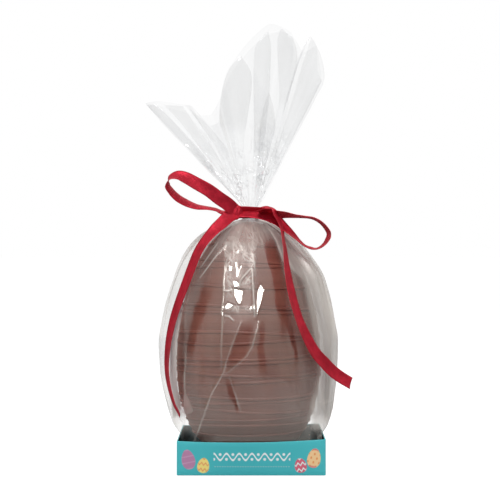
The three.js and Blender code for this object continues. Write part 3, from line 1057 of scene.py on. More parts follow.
# The share of light that the film takes: over the egg, at the sides, where it clings, in the free
# ruffle and on the ruffle's creases.
COVER_LOOSE = 0.13
COVER_SIDE = 0.60
COVER_CLINGING = 0.02
COVER_RUFFLE = 0.03
COVER_CREASE = 0.22
# What the creased patch and the crests of the folds add to it, the crests more higher up. On the
# crests this is partly thicker film and partly painted highlight.
COVER_PATCH = 0.08
COVER_LOW_CREST = 0.24
COVER_HIGH_CREST = 0.12
CREST_HEIGHTS = (85, 110)

# Places where the film clings to the egg: (x, z) down the front, and how wide.
CLINGS = [
    ([(12.5, 176), (15, 160), (18, 141), (21.5, 124), (24, 104), (25, 90)], 3.4),
    ([(8, 113), (6.5, 92), (9.5, 68)], 2.2),
    ([(-1, 114), (-4, 99), (-8.5, 87), (-16, 73)], 4.6),
    ([(-27, 140), (-32, 128), (-38.5, 114), (-42.5, 100), (-45, 76)], 3.0),
    ([(-50, 134), (-51.4, 105), (-51.4, 84), (-50.6, 62), (-48.5, 38)], 2.6),
    ([(-53, 134), (-54.6, 105), (-54.8, 84), (-54, 62), (-51.5, 42)], 2.6),
    ([(-17, 73), (-13, 55), (-9, 42)], 1.2),
    ([(29, 112), (30, 92), (32, 74)], 1.4),
]
# Painted shade beside the left tail: a band where the film is greyer and denser, between the tail
# and the egg's edge, as (x, z).
SHADED_EDGE = [(-51, 121), (-53.2, 108), (-55.3, 95), (-55.8, 80), (-55.2, 62), (-52.5, 46)]
SHADED_COVER = 0.76
SHADED_WIDTHS = (3.0, 1.6)
# Raised folds of the film over the front: (x, z) places, height and half width.
FRONT_FOLDS = [
    ([(-24, 165), (-37, 146.6)], 0.5, 0.7),
    ([(-18, 163), (-29, 150), (-37, 139.6)], 0.4, 0.8),
    ([(9, 181), (15, 173), (19, 166), (23.5, 152)], 0.5, 0.8),
    ([(-18.5, 148), (-20, 113), (-21, 92), (-21, 76)], 0.7, 1.0),
    ([(-1, 146), (-8.5, 137)], 0.8, 1.0),
    ([(0.5, 146), (1.6, 126), (2.4, 112)], 0.9, 1.0),
    ([(-7.5, 108), (-13, 94), (-17.5, 81), (-19, 74), (-28, 57), (-34, 40), (-42, 20)], 0.8, 1.2),
    ([(6, 109), (3, 100), (0.5, 91), (-4, 84), (-12, 77), (-19, 71)], 0.7, 1.2),
    ([(-46.5, 92), (-47.5, 70), (-47.8, 34)], 0.6, 1.0),
    ([(-15.5, 71), (-11, 57), (-7.5, 46)], 0.5, 0.8),
    ([(-18, 146), (-19.5, 137.5), (-19.6, 132.5)], 0.4, 0.5),
    ([(-19.5, 131), (-16, 130.4), (-12.4, 131.8)], 0.4, 0.5),
    ([(-19.2, 126.2), (-20.8, 117), (-20, 112), (-19, 108.4)], 0.5, 0.6),
    ([(-19.3, 113), (-15.8, 112.6), (-12.3, 109.4)], 0.4, 0.5),
    ([(-0.6, 146), (-3, 143.2), (-7.3, 138.2), (-8.7, 133.2)], 0.5, 0.5),
]
# Flat facets of the film that is creased over the egg's upper front, turned up towards the main
# light: the corners of each, anticlockwise as (x, z).
GLINTS = [
    [(-13.0, 132.5), (-10.9, 124.0), (-9.1, 121.2), (-7.3, 121.2), (-5.2, 131.1)],
    [(4.1, 131.1), (3.4, 111.2), (7.6, 124.0), (9.1, 131.1), (6.9, 136.1)],
    [(-18.7, 119.7), (-20.5, 116.9), (-15.9, 118.3), (-11.6, 120.4), (-16.9, 122.6)],
    [(-1.6, 117.6), (3.0, 117.6), (1.2, 121.9)],
    [(-13.7, 155.3), (-9.4, 157.5), (-6.6, 156.0), (-5.9, 159.6), (-8.7, 160.3)],
    [(-11.9, 151.1), (-10.5, 140.4), (-9.1, 140.4), (-10.0, 151.1)],
    [(-9.4, 140.4), (-7.6, 145.4), (-5.9, 148.9), (-8.4, 148.4), (-10.4, 143.0)],
    [(-15.9, 148.2), (-15.9, 145.0), (-13.7, 144.6), (-13.0, 148.2)],
    [(-13.0, 137.5), (-12.3, 133.0), (-9.8, 133.0), (-8.4, 135.4), (-10.5, 137.8)],
]
# How far outside a glint's edge it ends, and how far inside it is a full facet and a full mirror.
GLINT_BLUR = 0.5
GLINT_EDGE = 0.25
GLINT_SHINE_EDGE = 0.7
# The glints' facets also take more of the light than the film round them: part painted highlight.
GLINT_COVER = 0.45
# How steeply the glints face: sideways, and upwards.
GLINT_TURN = -0.05
GLINT_LIFT = 0.46
# Nets of creases, painted as lighter lines of thicker film for the highlights their edges catch:
# where they lie, their strength, a cell's width and height, the seed and the creases' width as a
# share of a cell.
CREASE_NETS = {
    "corner": (0.30, 6, 7, 44, 0.13),
    "dome": (0.17, 5, 6, 47, 0.14),
    "patch": (0.26, 4.2, 5.2, 48, 0.15),
}
BAG_HEIGHTS, BAG_WIDTHS, BAG_DEPTHS, BAG_SQUARES = zip(*BAG_SECTIONS)
BAG_FALLS = -np.gradient(BAG_DEPTHS, BAG_HEIGHTS)


def bag_axis(height):
    """The x of the bag's middle at a height: it leans to the left between tray and neck."""
    return -BAG_LEAN * np.sin(math.pi * ramp(height, TRAY_HEIGHT, LEAN_TOP))


def bag_radius(angle, height):
    """The plain bag: from the tray's square to the round of the neck."""
    width = smooth_through(height, BAG_HEIGHTS, BAG_WIDTHS)
    depth = smooth_through(height, BAG_HEIGHTS, BAG_DEPTHS)
    square = smooth_through(height, BAG_HEIGHTS, BAG_SQUARES)
    across = np.abs(np.cos(angle) / width) ** square
    through = np.abs(np.sin(angle) / depth) ** square
    right = smooth(np.cos(angle), *DRAWN_IN_SIDE)
    drawn_in = SHOULDER_DRAWN_IN * right * window(height, *DRAWN_IN_HEIGHTS)
    return (across + through) ** (-1 / square) - drawn_in


def gathers(angle, height):
    """Folds drawn together at the neck: uneven in width, deepest just below it."""
    growth = window(height, *GATHER_HEIGHTS)
    drift = 0.35 * np.sin(2 * angle + 0.6) + 0.22 * np.sin(5 * angle + 1.9)
    depth = 1 - 0.55 * np.sin(3 * angle)
    broad = np.cos(GATHERS * (angle + drift) + 0.012 * height)
    return GATHER_DEPTH * growth * depth * broad


def neck_pleats(angle):
    """The film drawn in by the ribbon, always within the neck's radius."""
    return PLEAT_PLACE + PLEAT_DEPTH * np.cos(GATHERS * angle + 1.6 * np.sin(3 * angle))


def bag_facets(angle, height, pattern, seed, shift=0):
    """Facets round the bag, as many and as tall as the pattern says, moved up by shift of them."""
    count, tall = pattern
    return facets(angle / FULL_TURN * count, height / tall + shift, seed, count)


def long_panels(angle, height):
    """Long flat panels between upright creases, deepest at the sides, where the film hangs free."""
    free = window(height, *PANEL_HEIGHTS)
    side = np.abs(np.cos(angle)) ** 2
    broad = bag_facets(angle, height, BROAD_PANELS, seed=21)
    narrow = bag_facets(angle, height, NARROW_PANELS, seed=22, shift=3)
    return free * ((0.6 + 1.4 * side) * broad + (0.25 + 1.3 * side) * narrow)


def fade_ends(along):
    """1 along most of a line, falling at its two ends."""
    return np.sin(math.pi * np.clip(along, 0.04, 0.96)) ** 0.4


def front_folds(x, z, facing):
    """Height of the raised folds, and how far their crests thicken the film as a painted highlight.
    """
    total = np.zeros(x.shape)
    crest = np.zeros(x.shape)
    for line, height, half_width in FRONT_FOLDS:
        distance, along = distance_along(x, z, line)
        profile = np.maximum(0, 1 - distance / (2 * half_width)) ** 1.5
        total += height * profile * fade_ends(along)
        crest = np.maximum(crest, smooth(distance, *CREST_WIDTHS) * fade_ends(along))
    return total * facing, crest * facing


def inside_polygon(x, z, corners, within):
    """1 in a polygon with its corners anticlockwise, and 0 from GLINT_BLUR outside its edges.

    The fall starts as far within the edges as within says.
    """
    inside = np.ones(x.shape)
    for (ax, az), (bx, bz) in zip(corners, corners[1:] + corners[:1]):
        out = ((x - ax) * (bz - az) - (z - az) * (bx - ax)) / math.hypot(bx - ax, bz - az)
        inside *= smooth(out, GLINT_BLUR, -within)
    return inside


def glint_facet(x, z, corners):
    """Height of a flat facet through the polygon's middle, turned up to the main light."""
    middle_x, middle_z = np.mean(corners, axis=0)
    columns = (BAG_WIDTHS, BAG_DEPTHS, BAG_FALLS)
    width, depth, fall = (np.interp(middle_z, BAG_HEIGHTS, column) for column in columns)
    turn = (middle_x + BAG_LEAN) * depth / width**2 - GLINT_TURN
    return turn * (x - middle_x) + (fall - GLINT_LIFT) * (z - middle_z)


def crinkled_patch(x, z):
    """1 over the creased part of the film's upper front, and 0 beside it."""
    bare = window(x, *BARE_X) * window(z, *BARE_Z)
    return window(x, *PATCH_X) * window(z, *PATCH_Z) * (1 - bare)


def dull_patch(x, z):
    """1 over the upper front where several creased layers lie, which mirror no sharp image."""
    return window(x, *DULL_X) * window(z, *DULL_Z)


def crinkles(angle, height, x, facing):
    """Small flat facets where the film is creased: over the upper front, the dome and the foot."""
    tall = bag_facets(angle, height, TALL_CRINKLES, seed=5)
    small = bag_facets(angle, height, SMALL_CRINKLES, seed=6)
    patch = crinkled_patch(x, height) * facing
    dome = smooth(height, *DOME_HEIGHTS)
    foot = smooth(height, *FOOT_HEIGHTS) * smooth(np.cos(angle), 0.5, 0.7)
    all_over = (0.05 + 0.35 * dome + 0.5 * foot) * small * smooth(height, *ABOVE_TRAY)
    relief = patch * (0.3 * tall + 0.2 * small) + all_over
    for corners in GLINTS:
        share = inside_polygon(x, height, corners, GLINT_EDGE) * facing
        relief = towards(relief, glint_facet(x, height, corners), share)
    return relief


def cling_pull(x, z):
    """How far the film clings to the egg, from 0 to 1: fully along each line and less beside it."""
    ragged_x = x + 1.6 * soft_noise(x / 6, z / 11, seed=41)
    ragged_z = z + 3.0 * soft_noise(x / 5, z / 12, seed=42)
    pull = np.zeros(x.shape)
    for line, half_width in CLINGS:
        distance, along = distance_along(ragged_x, ragged_z, line)
        ends = window(along, 0, 0.3, 0.75, 1)
        pull = np.maximum(pull, ends * smooth(distance, half_width * 1.7, half_width * 0.5))
    return pull * smooth(z, *CLING_TOP)


def under_tails(relief, x, z, facing):
    """Keeps the film's folds from standing out under the ribbon's two tails."""
    nearest = np.full(x.shape, np.inf)
    for stations in (LEFT_TAIL, RIGHT_TAIL):
        line = [(station[0], station[2]) for station in stations]
        nearest = np.minimum(nearest, distance_along(x, z, line)[0])
    under = facing * smooth(nearest, RIBBON_WIDTH * 1.6, RIBBON_WIDTH * 0.5)
    return towards(relief, np.minimum(relief, -0.3), under)


def clear_of_egg(x, y, z):
    """The points, moved outwards where they would come closer to the egg than its threads stand."""
    shell = np.where(z < EGG_TOP, egg_radius(z) + CLEARANCE, 0)
    from_axis = np.maximum(np.hypot(x - EGG_X, y), 1e-6)
    scale = np.maximum(shell / from_axis, 1)
    return np.stack([EGG_X + (x - EGG_X) * scale, y * scale, z], axis=2)


def body_grid():
    """Height and angle of each of the bag's points, which lie closer together at the front."""
    turn = np.linspace(0, FULL_TURN, BODY_COLUMNS, endpoint=False)
    angles = turn - FRONT_DENSITY * np.cos(turn)
    heights = [np.linspace(*rows)[:-1] for rows in BODY_ROWS]
    return np.meshgrid(np.append(np.concatenate(heights), NECK_TOP), angles, indexing="ij")


def make_film_body():
    """The filled bag, from its foot in the tray to the top of its neck."""
    height, angle = body_grid()
    neck = smooth(height, NECK_BOTTOM - 1.5, NECK_BOTTOM + 0.5)
    axis = towards(bag_axis(height), NECK_X, neck)
    plain = bag_radius(angle, height)
    x = axis + plain * np.cos(angle)
    facing = smooth(-np.sin(angle), *FACING_FRONT)
    folds, crest = front_folds(x, height, facing)
    panels = long_panels(angle, height)
    # The film is made nearly clear in the tray's corners, to let the painted shade inside show.
    in_corner = smooth(height, *CORNER_HEIGHTS) * smooth(-np.cos(angle), 0.4, 0.6)
    pull = np.maximum(cling_pull(x, height) * facing, 0.85 * in_corner)
    relief = gathers(angle, height) + panels * (1 - 0.8 * pull) + folds
    relief = under_tails(relief + crinkles(angle, height, x, facing), x, height, facing)
    radius = plain + relief * (1 - neck) + neck_pleats(angle) * neck
    x = axis + radius * np.cos(angle)
    points = clear_of_egg(x, radius * np.sin(angle), height)
    shares = body_shares(angle, height, x, panels, crest, pull)
    add_film("film_body", points, capped_faces(*height.shape, top=False), FILM, **shares)


def outer_left(sideways):
    """1 at the bag's left edge, where the film is a single layer again."""
    return smooth(-sideways, *OUTER_LEFT)


def side_gussets(sideways, height):
    """1 where the film hangs in several layers at the bag's two sides."""
    lower = smooth(height, *LOWER_HEIGHTS)
    upper = smooth(height, *UPPER_HEIGHTS)
    near_tray = smooth(height, *NEAR_TRAY)
    start = 0.74 - 0.16 * lower - 0.18 * upper
    full = 0.84 - 0.1 * lower - 0.12 * upper
    right = window(sideways, start, full, 0.93, 1.04) * smooth(height, 27, 42)
    start = 0.77 - 0.2 * lower + 0.3 * near_tray
    full = 0.83 - 0.16 * lower + 0.3 * near_tray
    left = smooth(-sideways, start, full) * (1 - 0.95 * outer_left(sideways))
    return right + left * smooth(height, 20, 26)


def plain_cover(x, height, panels):
    """The light that a single layer takes: more low on the bag, and least in the tray's corners,
    where the painted shade of the tray's inside shows through.
    """
    full = np.maximum(smooth(height, 26, 36), smooth(np.abs(x), 46, 40))
    cover = COVER_LOOSE * (1 + 0.5 * smooth(height, 70, 40)) * full + 0.02
    return cover * (1 + 0.3 * panels)


def layered_cover(angle, height, x, panels, gusset, shoulder):
    """The light that the film takes: little in one layer, more at the sides and the shoulder."""
    count, tall = STREAKS
    streaks = soft_noise(angle / FULL_TURN * count, height / tall, seed=49, cells=count)
    side = COVER_SIDE * (1 + 0.3 * panels + 0.3 * streaks)
    share = np.maximum(gusset, (0.2 + 0.45 * np.abs(np.cos(angle))) * shoulder)
    return towards(plain_cover(x, height, panels), side, share)


def crease_highlights(x, height, places):
    """Painted highlights on the nets of fine creases; places says how full each net is."""
    total = np.zeros(x.shape)
    for name, (strength, across, up, seed, width) in CREASE_NETS.items():
        net = crease_net(x / across, height / up, seed, PATTERN_CELLS, width)
        total += strength * places[name] * net
    return total


def body_shares(angle, height, x, panels, crest, pull):
    """The film's cover, how deep its layers lie and how far it clings, over the bag's body."""
    sideways = np.cos(angle)
    front = np.sin(angle) < 0
    edge = outer_left(sideways)
    gusset = side_gussets(sideways, height)
    shoulder = smooth(height, *SHOULDER_HEIGHTS)
    corner = smooth(sideways, 0.55, 0.7) * smooth(height, 58, 44) * smooth(height, 22, 26)
    creased = crinkled_patch(x, height) * front
    glints = [inside_polygon(x, height, corners, GLINT_SHINE_EDGE) for corners in GLINTS]
    flat = np.max(glints, axis=0) * front
    shaded = smooth(distance_along(x, height, SHADED_EDGE)[0], *SHADED_WIDTHS) * front
    cover = layered_cover(angle, height, x, np.clip(panels, -1, 1), gusset, shoulder)
    # Inside the glints the film takes more light, a part of their highlight that is painted.
    cover = towards(cover, GLINT_COVER, flat) + COVER_PATCH * creased
    nets = {"corner": corner, "dome": shoulder * front, "patch": creased}
    cover = towards(cover + crease_highlights(x, height, nets), COVER_CLINGING, pull)
    cover += (COVER_LOW_CREST + COVER_HIGH_CREST * smooth(height, *CREST_HEIGHTS)) * crest
    hazy = smooth(np.abs(sideways), 0.5, 0.62) * (1 - edge)
    hazy = np.maximum(hazy, dull_patch(x, height) * front)
    deep = np.max([gusset, 0.6 * shoulder, 0.5 * hazy], axis=0) * (1 - flat)
    return {
        "cover": towards(cover, SHADED_COVER, shaded),
        "deep": np.maximum(deep * (1 - pull), shaded),
        "cling": np.maximum(pull, 0.8 * edge),
    }


def add_film(name, points, faces, material, **shares):
    """A piece of the film, with each share stored under its name for the material."""
    piece = add_mesh(name, points, faces, material)
    for key, values in shares.items():
        add_attribute(piece, key, values)
    dress(piece, "film_bag")


# ---------------------------------------------------------------- the film's ruffle

RUFFLE_ROWS = 120
RUFFLE_COLUMNS = 780
# The power that brings the ruffle's rows closer together at the neck.
RUFFLE_SPACING = 1.15
# The ruffle's height, near enough, which the size of its patterns goes by.
RUFFLE_REACH = 110
RUFFLE_SEED = 33
RIM_TENSION = 0.32
CRUMPLE_SIZE = 6.0
FLAP_ROWS = 110
FLAP_COLUMNS = 60
FLAP_SEED = 60

# Raised creases of the ruffle's front: (x, z) places, half width and height.
RUFFLE_CREASES = [
    ([(16.5, 318), (16.8, 292), (15.5, 268)], 2.6, 1.6),
    ([(-67, 266), (-52, 249), (-36, 232)], 1.3, 1.4),
    ([(-48, 263), (-38, 250), (-27, 238)], 1.2, 1.4),
]
# Parts of the ruffle that are folded over in front of it: left and right edge upwards as (x, z),
# depth, cover, and the two heights between which the film thickens from a single to several layers.
RUFFLE_FLAPS = {
    "leaf": (
        [(-4, 192), (-12, 215), (-20, 240), (-23.3, 255), (-21.4, 277), (-15.6, 293), (-7.5, 302)],
        [(-1, 192), (-3, 215), (-5, 240), (-2.5, 258), (0.2, 277), (-0.3, 290), (-7.5, 302)],
        -13, 0.15, (240, 256),
    ),
    "strip": (
        [(0, 192), (1, 215), (2, 249), (1.7, 270), (1.7, 292), (3.5, 310), (12.3, 321)],
        [(3, 192), (7, 215), (10.8, 249), (13, 270), (14.1, 292), (14.5, 310), (12.3, 321)],
        -9, 0.16, (215, 245),
    ),
    "crown": (
        [(3, 192), (9, 215), (17, 245), (20.4, 270), (19.7, 295), (19.3, 314), (21.9, 323)],
        [(6, 192), (15, 215), (23, 245), (28.5, 275), (34, 297), (31, 314), (21.9, 323)],
        -10, 0.13, (262, 272),
    ),
    "wing": (
        [(5, 192), (13, 215), (22, 245), (29.5, 268), (36.5, 292), (41.5, 308), (43.9, 316)],
        [(7, 192), (18, 215), (32, 242), (46, 268.5), (53.5, 284.5), (51, 302), (43.9, 316)],
        -13, 0.14, (195, 225),
    ),
    "wing_line": (
        [(4, 192), (11, 215), (19.5, 245), (25, 268), (32.9, 294.7), (38.5, 309), (42.5, 316)],
        [(4.6, 192), (11.8, 215), (20.5, 245), (26.2, 268), (34.1, 294.2), (39.7, 308.4),
         (43.3, 316)],
        -14, 0.2, (255, 268),
    ),
    "wedge": (
        [(1.3, 193), (3.5, 212), (4.5, 226), (5.5, 238), (6.1, 248), (8.5, 262), (13, 276)],
        [(4, 193), (8, 212), (12, 226), (15, 238), (17.6, 248), (16.5, 262), (13, 276)],
        -15, 0.16, (195, 205),
    ),
    "fin_edge": (
        [(-9.7, 196.3), (-26.6, 212.4), (-45, 231.5), (-63.3, 250.6), (-77.2, 266.4)],
        [(-8.2, 196.3), (-21.5, 212.4), (-37.6, 233), (-55.3, 252.1), (-69.9, 266.8)],
        -7, 0.17, (200, 225),
    ),
    "fin_middle": (
        [(-15.6, 207.3), (-28.1, 222), (-40.5, 238.1), (-52.3, 253.6), (-64, 266)],
        [(-14.1, 208.8), (-21.5, 222), (-28.8, 235.2), (-39.1, 249.1), (-50.1, 265.3)],
        -9, 0.15, (215, 235),
    ),
    "fin_inner": (
        [(-11.9, 211), (-18.5, 222), (-25.9, 234.5), (-34.7, 247.7), (-45.7, 263.8)],
        [(-9.7, 212.4), (-12.6, 222), (-17, 233), (-23.7, 241.8), (-31.7, 251.3)],
        -8, 0.16, (225, 242),
    ),
}


def rim_points(places):
    """The cut edge at places counted in corners, as smooth lobes."""
    lean, reach, depth = np.array(RIM, float).T
    x = NECK_X + reach * np.sin(np.radians(lean))
    z = NECK_CENTRE + reach * np.cos(np.radians(lean))
    corners = np.stack([x, depth, z], axis=1)
    first = np.floor(places).astype(int)
    t = (places - first)[:, None]
    p0, p1, p2, p3 = (corners[(first + shift) % len(corners)] for shift in (-1, 0, 1, 2))
    return hermite(t, p1, (p2 - p0) * RIM_TENSION, p2, (p3 - p1) * RIM_TENSION)


def ruffle_crumple(x, z, seed):
    """Small flat facets in every direction, as wide as they are high."""
    return facets(x / CRUMPLE_SIZE, z / CRUMPLE_SIZE, seed, PATTERN_CELLS)


def ruffle_creases(x, z, seed):
    """1 on the creases between the facets of ruffle_crumple with the same seed."""
    return crease_net(x / CRUMPLE_SIZE, z / CRUMPLE_SIZE, seed, PATTERN_CELLS, width=0.14)


def raised_creases(x, y, z, cover, front):
    """The ruffle's y and cover with its raised creases, where the film is clearer."""
    for line, half_width, height in RUFFLE_CREASES:
        distance, along = distance_along(x, z, line)
        ends = front * fade_ends(along)
        y = y - height * ends * np.maximum(0, 1 - distance / (1.5 * half_width))
        cover = cover * (1 - ends * smooth(distance, half_width * 1.15, half_width * 0.8))
    return y, cover


def make_film_ruffle():
    """The bag's free top: a gathered neck that opens into uneven lobes."""
    turns = np.linspace(0, 1, RUFFLE_COLUMNS, endpoint=False)
    share = np.linspace(0, 1, RUFFLE_ROWS) ** RUFFLE_SPACING
    rise, turn = np.meshgrid(share, turns, indexing="ij")
    angle = turn * FULL_TURN
    root = around(NECK_X, NECK_RADIUS + neck_pleats(angle), angle, NECK_TOP + 0 * angle)
    rim = rim_points(turns * len(RIM))[None, :, :]
    x, y, z = np.moveaxis(root + (rim - root) * rise[:, :, None], 2, 0)
    reach = rise * RUFFLE_REACH
    near_neck = window(reach, 0, 10, 20, 66)
    panels = facets(turn * 18, reach / 60, seed=31, cells=18)
    crumple = ruffle_crumple(x, z, RUFFLE_SEED) * near_neck
    creases = ruffle_creases(x, z, RUFFLE_SEED) * near_neck
    y = y + 2.5 * panels * np.sin(math.pi * rise) ** 0.8 + 1.6 * crumple
    cover = COVER_RUFFLE * (1 + 0.5 * panels + 0.8 * crumple) + COVER_CREASE * creases
    y, cover = raised_creases(x, y, z, cover, smooth(-np.sin(angle), -0.05, 0.1))
    faces = grid_faces(RUFFLE_ROWS, RUFFLE_COLUMNS, wrap=True)
    add_film("film_ruffle", np.stack([x, y, z], axis=2), faces, TOP_FILM, cover=cover)


def flap_grid(*edge_lines):
    """x and z over a flap between its two edges, and how far each point is from the nearer edge."""
    up = np.linspace(0, 1, FLAP_ROWS)
    edges = []
    for line in edge_lines:
        stations = np.array(line, float)
        edges.append(np.array([path_point(stations, place)[0] for place in up]))
    left, right = edges
    side = np.linspace(0, 1, FLAP_COLUMNS)[None, :]
    x = left[:, None, 0] * (1 - side) + right[:, None, 0] * side
    z = left[:, None, 1] * (1 - side) + right[:, None, 1] * side
    width = np.hypot(*(right - left).T)[:, None]
    return x, z, np.minimum(side, 1 - side) * width


def make_film_flap(name, left, right, depth, own_cover, thickens, seed):
    """A part of the ruffle that is folded over in front of the rest, with a curled edge."""
    x, z, from_edge = flap_grid(left, right)
    panels = facets(x / 13, z / 40, seed, PATTERN_CELLS)
    lower = smooth(z, 255, 215)
    crumple = ruffle_crumple(x, z, seed + 3) * lower
    creases = ruffle_creases(x, z, seed + 3) * lower
    y = -NECK_RADIUS + (depth + NECK_RADIUS) * smooth(z, NECK_TOP, NECK_TOP + 60)
    y += (1.4 * panels + 1.2 * crumple) * smooth(z, NECK_TOP, NECK_TOP + 12)
    y += 0.6 * smooth(from_edge, 1.6, 0)
    cover = own_cover * (1 + 0.35 * panels + 0.5 * crumple) * smooth(z, *thickens)
    cover += 0.5 * COVER_CREASE * creases
    faces = grid_faces(FLAP_ROWS, FLAP_COLUMNS)
    add_film("film_flap_" + name, np.stack([x, y, z], axis=2), faces, TOP_FILM, cover=cover)


# ---------------------------------------------------------------- ribbon

RIBBON_ACROSS = 9
RIBBON_STEPS = 10
RIBBON_CURL = 0.8
BAND_ROWS = 14
BAND_COLUMNS = 96
BAND_LIFT = 0.8
KNOT_ROWS = 40
KNOT_COLUMNS = 48
KNOT_FLATNESS = 0.35
KNOT_LEAN = 0.35


def add_satin(name, points, faces, uv, thickness):
    """A piece of the ribbon, whose weave follows (millimetres along it, share across it)."""
    piece = add_mesh(name, points, faces, SATIN)
    add_uv(piece, uv)
    if thickness:
        solidify = piece.modifiers.new("thickness", "SOLIDIFY")
        solidify.thickness = thickness * MM
        solidify.offset = 0
    dress(piece, "ribbon")


def strand_width(run, turn):
    """Which way a strand's width points, for its run and its turn in radians."""
    square = np.array([-run[2], 0, run[0]])
    square /= np.linalg.norm(square)
    width = square * math.cos(turn) + np.array([0, -math.sin(turn), 0])
    width -= run * np.dot(width, run)
    return width / np.linalg.norm(width)


def make_strand(name, stations):
    """A flat satin band along its stations, slightly hollow across its width."""
    places = np.array([station[:3] for station in stations], float)
    turns = [station[3] for station in stations]
    steps = (len(stations) - 1) * RIBBON_STEPS
    across = np.linspace(-1, 1, RIBBON_ACROSS)[:, None]
    curl = RIBBON_CURL * (across**2 - 0.33)
    centres = []
    rows = []
    for place in np.arange(steps + 1) / steps:
        centre, run = path_point(places, place)
        turn = math.radians(np.interp(place * (len(stations) - 1), range(len(stations)), turns))
        width = strand_width(run, turn)
        rows.append(centre + width * across * RIBBON_WIDTH / 2 + np.cross(run, width) * curl)
        centres.append(centre)
    lengths = np.cumsum(np.linalg.norm(np.diff(centres, axis=0, prepend=centres[:1]), axis=1))
    uv = [(length, share) for length in lengths for share in np.linspace(0, 1, RIBBON_ACROSS)]
    add_satin(name, rows, grid_faces(steps + 1, RIBBON_ACROSS), uv, RIBBON_THICKNESS)


def make_neck_band():
    """The ribbon wound round the neck, with soft creases along it."""
    angles = np.linspace(0, FULL_TURN, BAND_COLUMNS, endpoint=False)
    share = np.linspace(0, 1, BAND_ROWS)
    v, angle = np.meshgrid(share, angles, indexing="ij")
    crease = 0.5 * np.sin(FULL_TURN * (1.5 * v + 0.12 * np.sin(angle + 1))) * np.sin(math.pi * v)
    z = BAND_BOTTOM + (BAND_TOP - BAND_BOTTOM) * v
    points = around(NECK_X, BAND_RADIUS + BAND_LIFT + crease, angle, z)
    uv = [(a * BAND_RADIUS, b) for b in share for a in angles]
    faces = grid_faces(BAND_ROWS, BAND_COLUMNS, wrap=True)
    add_satin("ribbon_neck_band", points, faces, uv, RIBBON_THICKNESS)


def make_knot():
    """The knot: a strip drawn tight over the crossing, with folds that run down its front."""
    turns = np.linspace(0, FULL_TURN, KNOT_ROWS, endpoint=False)
    share = np.linspace(0, 1, KNOT_COLUMNS)
    turn, v = np.meshgrid(turns, share, indexing="ij")
    bulge = np.sin(math.pi * np.clip(v, 0.02, 0.98)) ** 0.55
    folds = 1 + 0.07 * np.sin(FULL_TURN * 3.2 * v + 0.8 * np.sin(turn)) * np.cos(turn / 2) ** 2
    radius = bulge * folds
    across = KNOT_SIZE[0] * (2 * v - 1) * 0.6
    up = KNOT_SIZE[2] * radius * np.sin(turn)
    x = KNOT_CENTRE[0] + across + KNOT_LEAN * up
    y = KNOT_CENTRE[1] - 1.2 - KNOT_SIZE[1] * KNOT_FLATNESS * radius * np.cos(turn)
    z = KNOT_CENTRE[2] + up - 0.3 * across
    uv = [(a * KNOT_SIZE[2], b) for a in turns for b in share]
    faces = ring_faces(KNOT_ROWS, KNOT_COLUMNS)
    add_satin("ribbon_knot", np.stack([x, y, z], axis=2), faces, uv, thickness=0)


# ---------------------------------------------------------------- stage, light and camera

# Lengths are in metres here, apart from the sensor's.
FLOOR_SIZE = 60.0
FLOOR_GLOW = 0.9
FLOOR_BOUNCE = 0.42
FLOOR_DARK = 0.24
FLOOR_LIGHT = 0.26
FLOOR_ROUGHNESS = 0.9
FLOOR_NOISE = (3.0, 3.0, 0.5)
WHITE = (1.0, 1.0, 1.0)
# What the object mirrors: a warm room that grows brighter behind it, with a cooler top.
AMBIENT = 0.52
ROOM_WARM = (1.0, 0.96, 0.88)
ROOM_COOL = (1.0, 0.92, 1.0)
ROOM_FRONT = 0.40
ROOM_BACK = 0.95
ROOM_TOP = 0.5
# Where all the softboxes point.
LIGHT_AIM = (0, 0, 0.12)
# Softboxes: place, size, watts, and whether they light surfaces and show in glossy ones.
SOFTBOXES = {
    "key_softbox": ((-0.12, -0.95, 1.15), (1.3, 1.3), 10.2, True, False),
    "key_glint": ((-0.11, -0.88, 1.07), (0.45, 0.9), 10.0, False, True),
    "top_softbox": ((0.1, 0.2, 1.5), (1.4, 1.4), 8.0, True, False),
    "left_softbox": ((-1.3, -0.3, 0.5), (0.5, 1.2), 2.0, True, False),
    "right_softbox": ((1.3, -0.1, 0.5), (0.5, 1.2), 2.0, True, False),
}
CAMERA_DISTANCE = 1.2
CAMERA_HEIGHT = 0.1596
CAMERA_X = -0.0009
# How much of the object's middle plane the view takes in from side to side.
VIEW_WIDTH = 0.370
SENSOR = 36.0


def make_camera():
    """A camera level with the middle of the pack, straight in front of it."""
    camera = bpy.data.cameras.new("camera")
    camera.sensor_width = SENSOR
    camera.lens = SENSOR * CAMERA_DISTANCE / VIEW_WIDTH
    camera.dof.use_dof = False
    holder = add_object("camera", camera)
    holder.location = (CAMERA_X, -CAMERA_DISTANCE, CAMERA_HEIGHT)
    holder.rotation_euler = (math.radians(90), 0, 0)
    bpy.context.scene.camera = holder


def make_world():
    """White behind the object, and a paler and darker studio in what it mirrors."""
    graph = Graph("studio", is_world=True)
    _, backwards, upwards = graph.split(graph.add("TexCoord").outputs["Generated"])
    behind = graph.between(backwards, 0.5, 0.95, ROOM_FRONT, ROOM_BACK)
    above = graph.between(upwards, 0.15, 0.95, 0.0, ROOM_TOP)
    tint = graph.mix_colour(above, ROOM_WARM, ROOM_COOL)
    room = graph.add("Background", Color=tint, Strength=graph.plus(behind, above))
    ambient = graph.add("Background", Color=WHITE, Strength=AMBIENT)
    backdrop = graph.add("Background", Color=WHITE)
    ray = graph.add("LightPath").outputs
    light = graph.mix_shader(ray["Is Glossy Ray"], ambient, room)
    bpy.context.scene.world = graph.finish(graph.mix_shader(ray["Is Camera Ray"], light, backdrop))


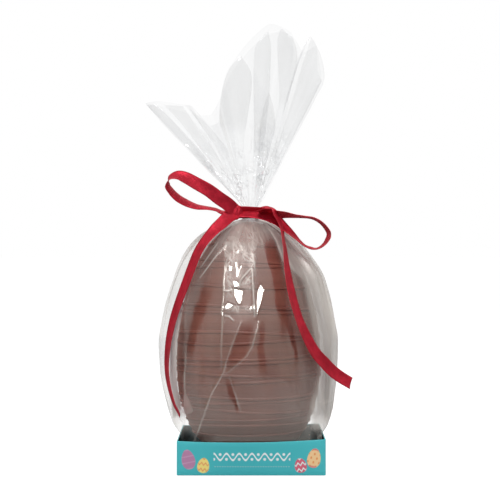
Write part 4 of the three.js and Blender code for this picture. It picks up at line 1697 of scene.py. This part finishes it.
def add_softbox(name, place, size, watts, lights, mirrored):
    """A soft light aimed at the egg, which may light surfaces, show in glossy ones, or both."""
    light = bpy.data.lights.new(name, "AREA")
    light.shape = "RECTANGLE"
    light.size, light.size_y = size
    light.energy = watts
    lamp = add_object(name, light)
    lamp.location = place
    lamp.rotation_euler = (Vector(LIGHT_AIM) - Vector(place)).to_track_quat("-Z", "Y").to_euler()
    lamp.visible_camera = False
    lamp.visible_diffuse = lights
    lamp.visible_glossy = mirrored


def floor_material():
    """A floor that glows white itself where it is seen, and otherwise is a pale grey one."""
    graph = Graph("floor")
    seen = graph.add("LightPath").outputs["Is Camera Ray"]
    grain = graph.mix_colour(graph.noise(*FLOOR_NOISE), (FLOOR_DARK,) * 3, (FLOOR_LIGHT,) * 3)
    shader = graph.add(
        "BsdfPrincipled",
        Base_Color=graph.mix_colour(seen, (FLOOR_BOUNCE,) * 3, grain),
        Roughness=FLOOR_ROUGHNESS,
        Specular_IOR_Level=0.0,
        Emission_Color=WHITE,
        Emission_Strength=graph.times(seen, FLOOR_GLOW),
    )
    return graph.finish(shader)


def make_floor():
    """One large flat floor."""
    half = FLOOR_SIZE / 2
    corners = [(-half, -half, 0), (half, -half, 0), (half, half, 0), (-half, half, 0)]
    mesh = bpy.data.meshes.new("floor")
    mesh.from_pydata(corners, [], [(0, 1, 2, 3)])
    mesh.materials.append(floor_material())
    add_object("floor", mesh)


# ---------------------------------------------------------------- the whole

make_camera()
make_world()
for name, softbox in SOFTBOXES.items():
    add_softbox(name, *softbox)
make_floor()
make_tray()
make_egg_shell()
make_egg_threads()
make_film_body()
make_film_ruffle()
for number, (name, flap) in enumerate(RUFFLE_FLAPS.items()):
    make_film_flap(name, *flap, seed=FLAP_SEED + number)
make_strand("ribbon_left_loop", LEFT_LOOP)
make_strand("ribbon_right_loop", RIGHT_LOOP)
make_strand("ribbon_left_tail", LEFT_TAIL)
make_strand("ribbon_right_tail", RIGHT_TAIL)
make_neck_band()
make_knot()

bpy.context.scene.view_settings.view_transform = "Standard"
bpy.context.scene.cycles.transparent_max_bounces = 32
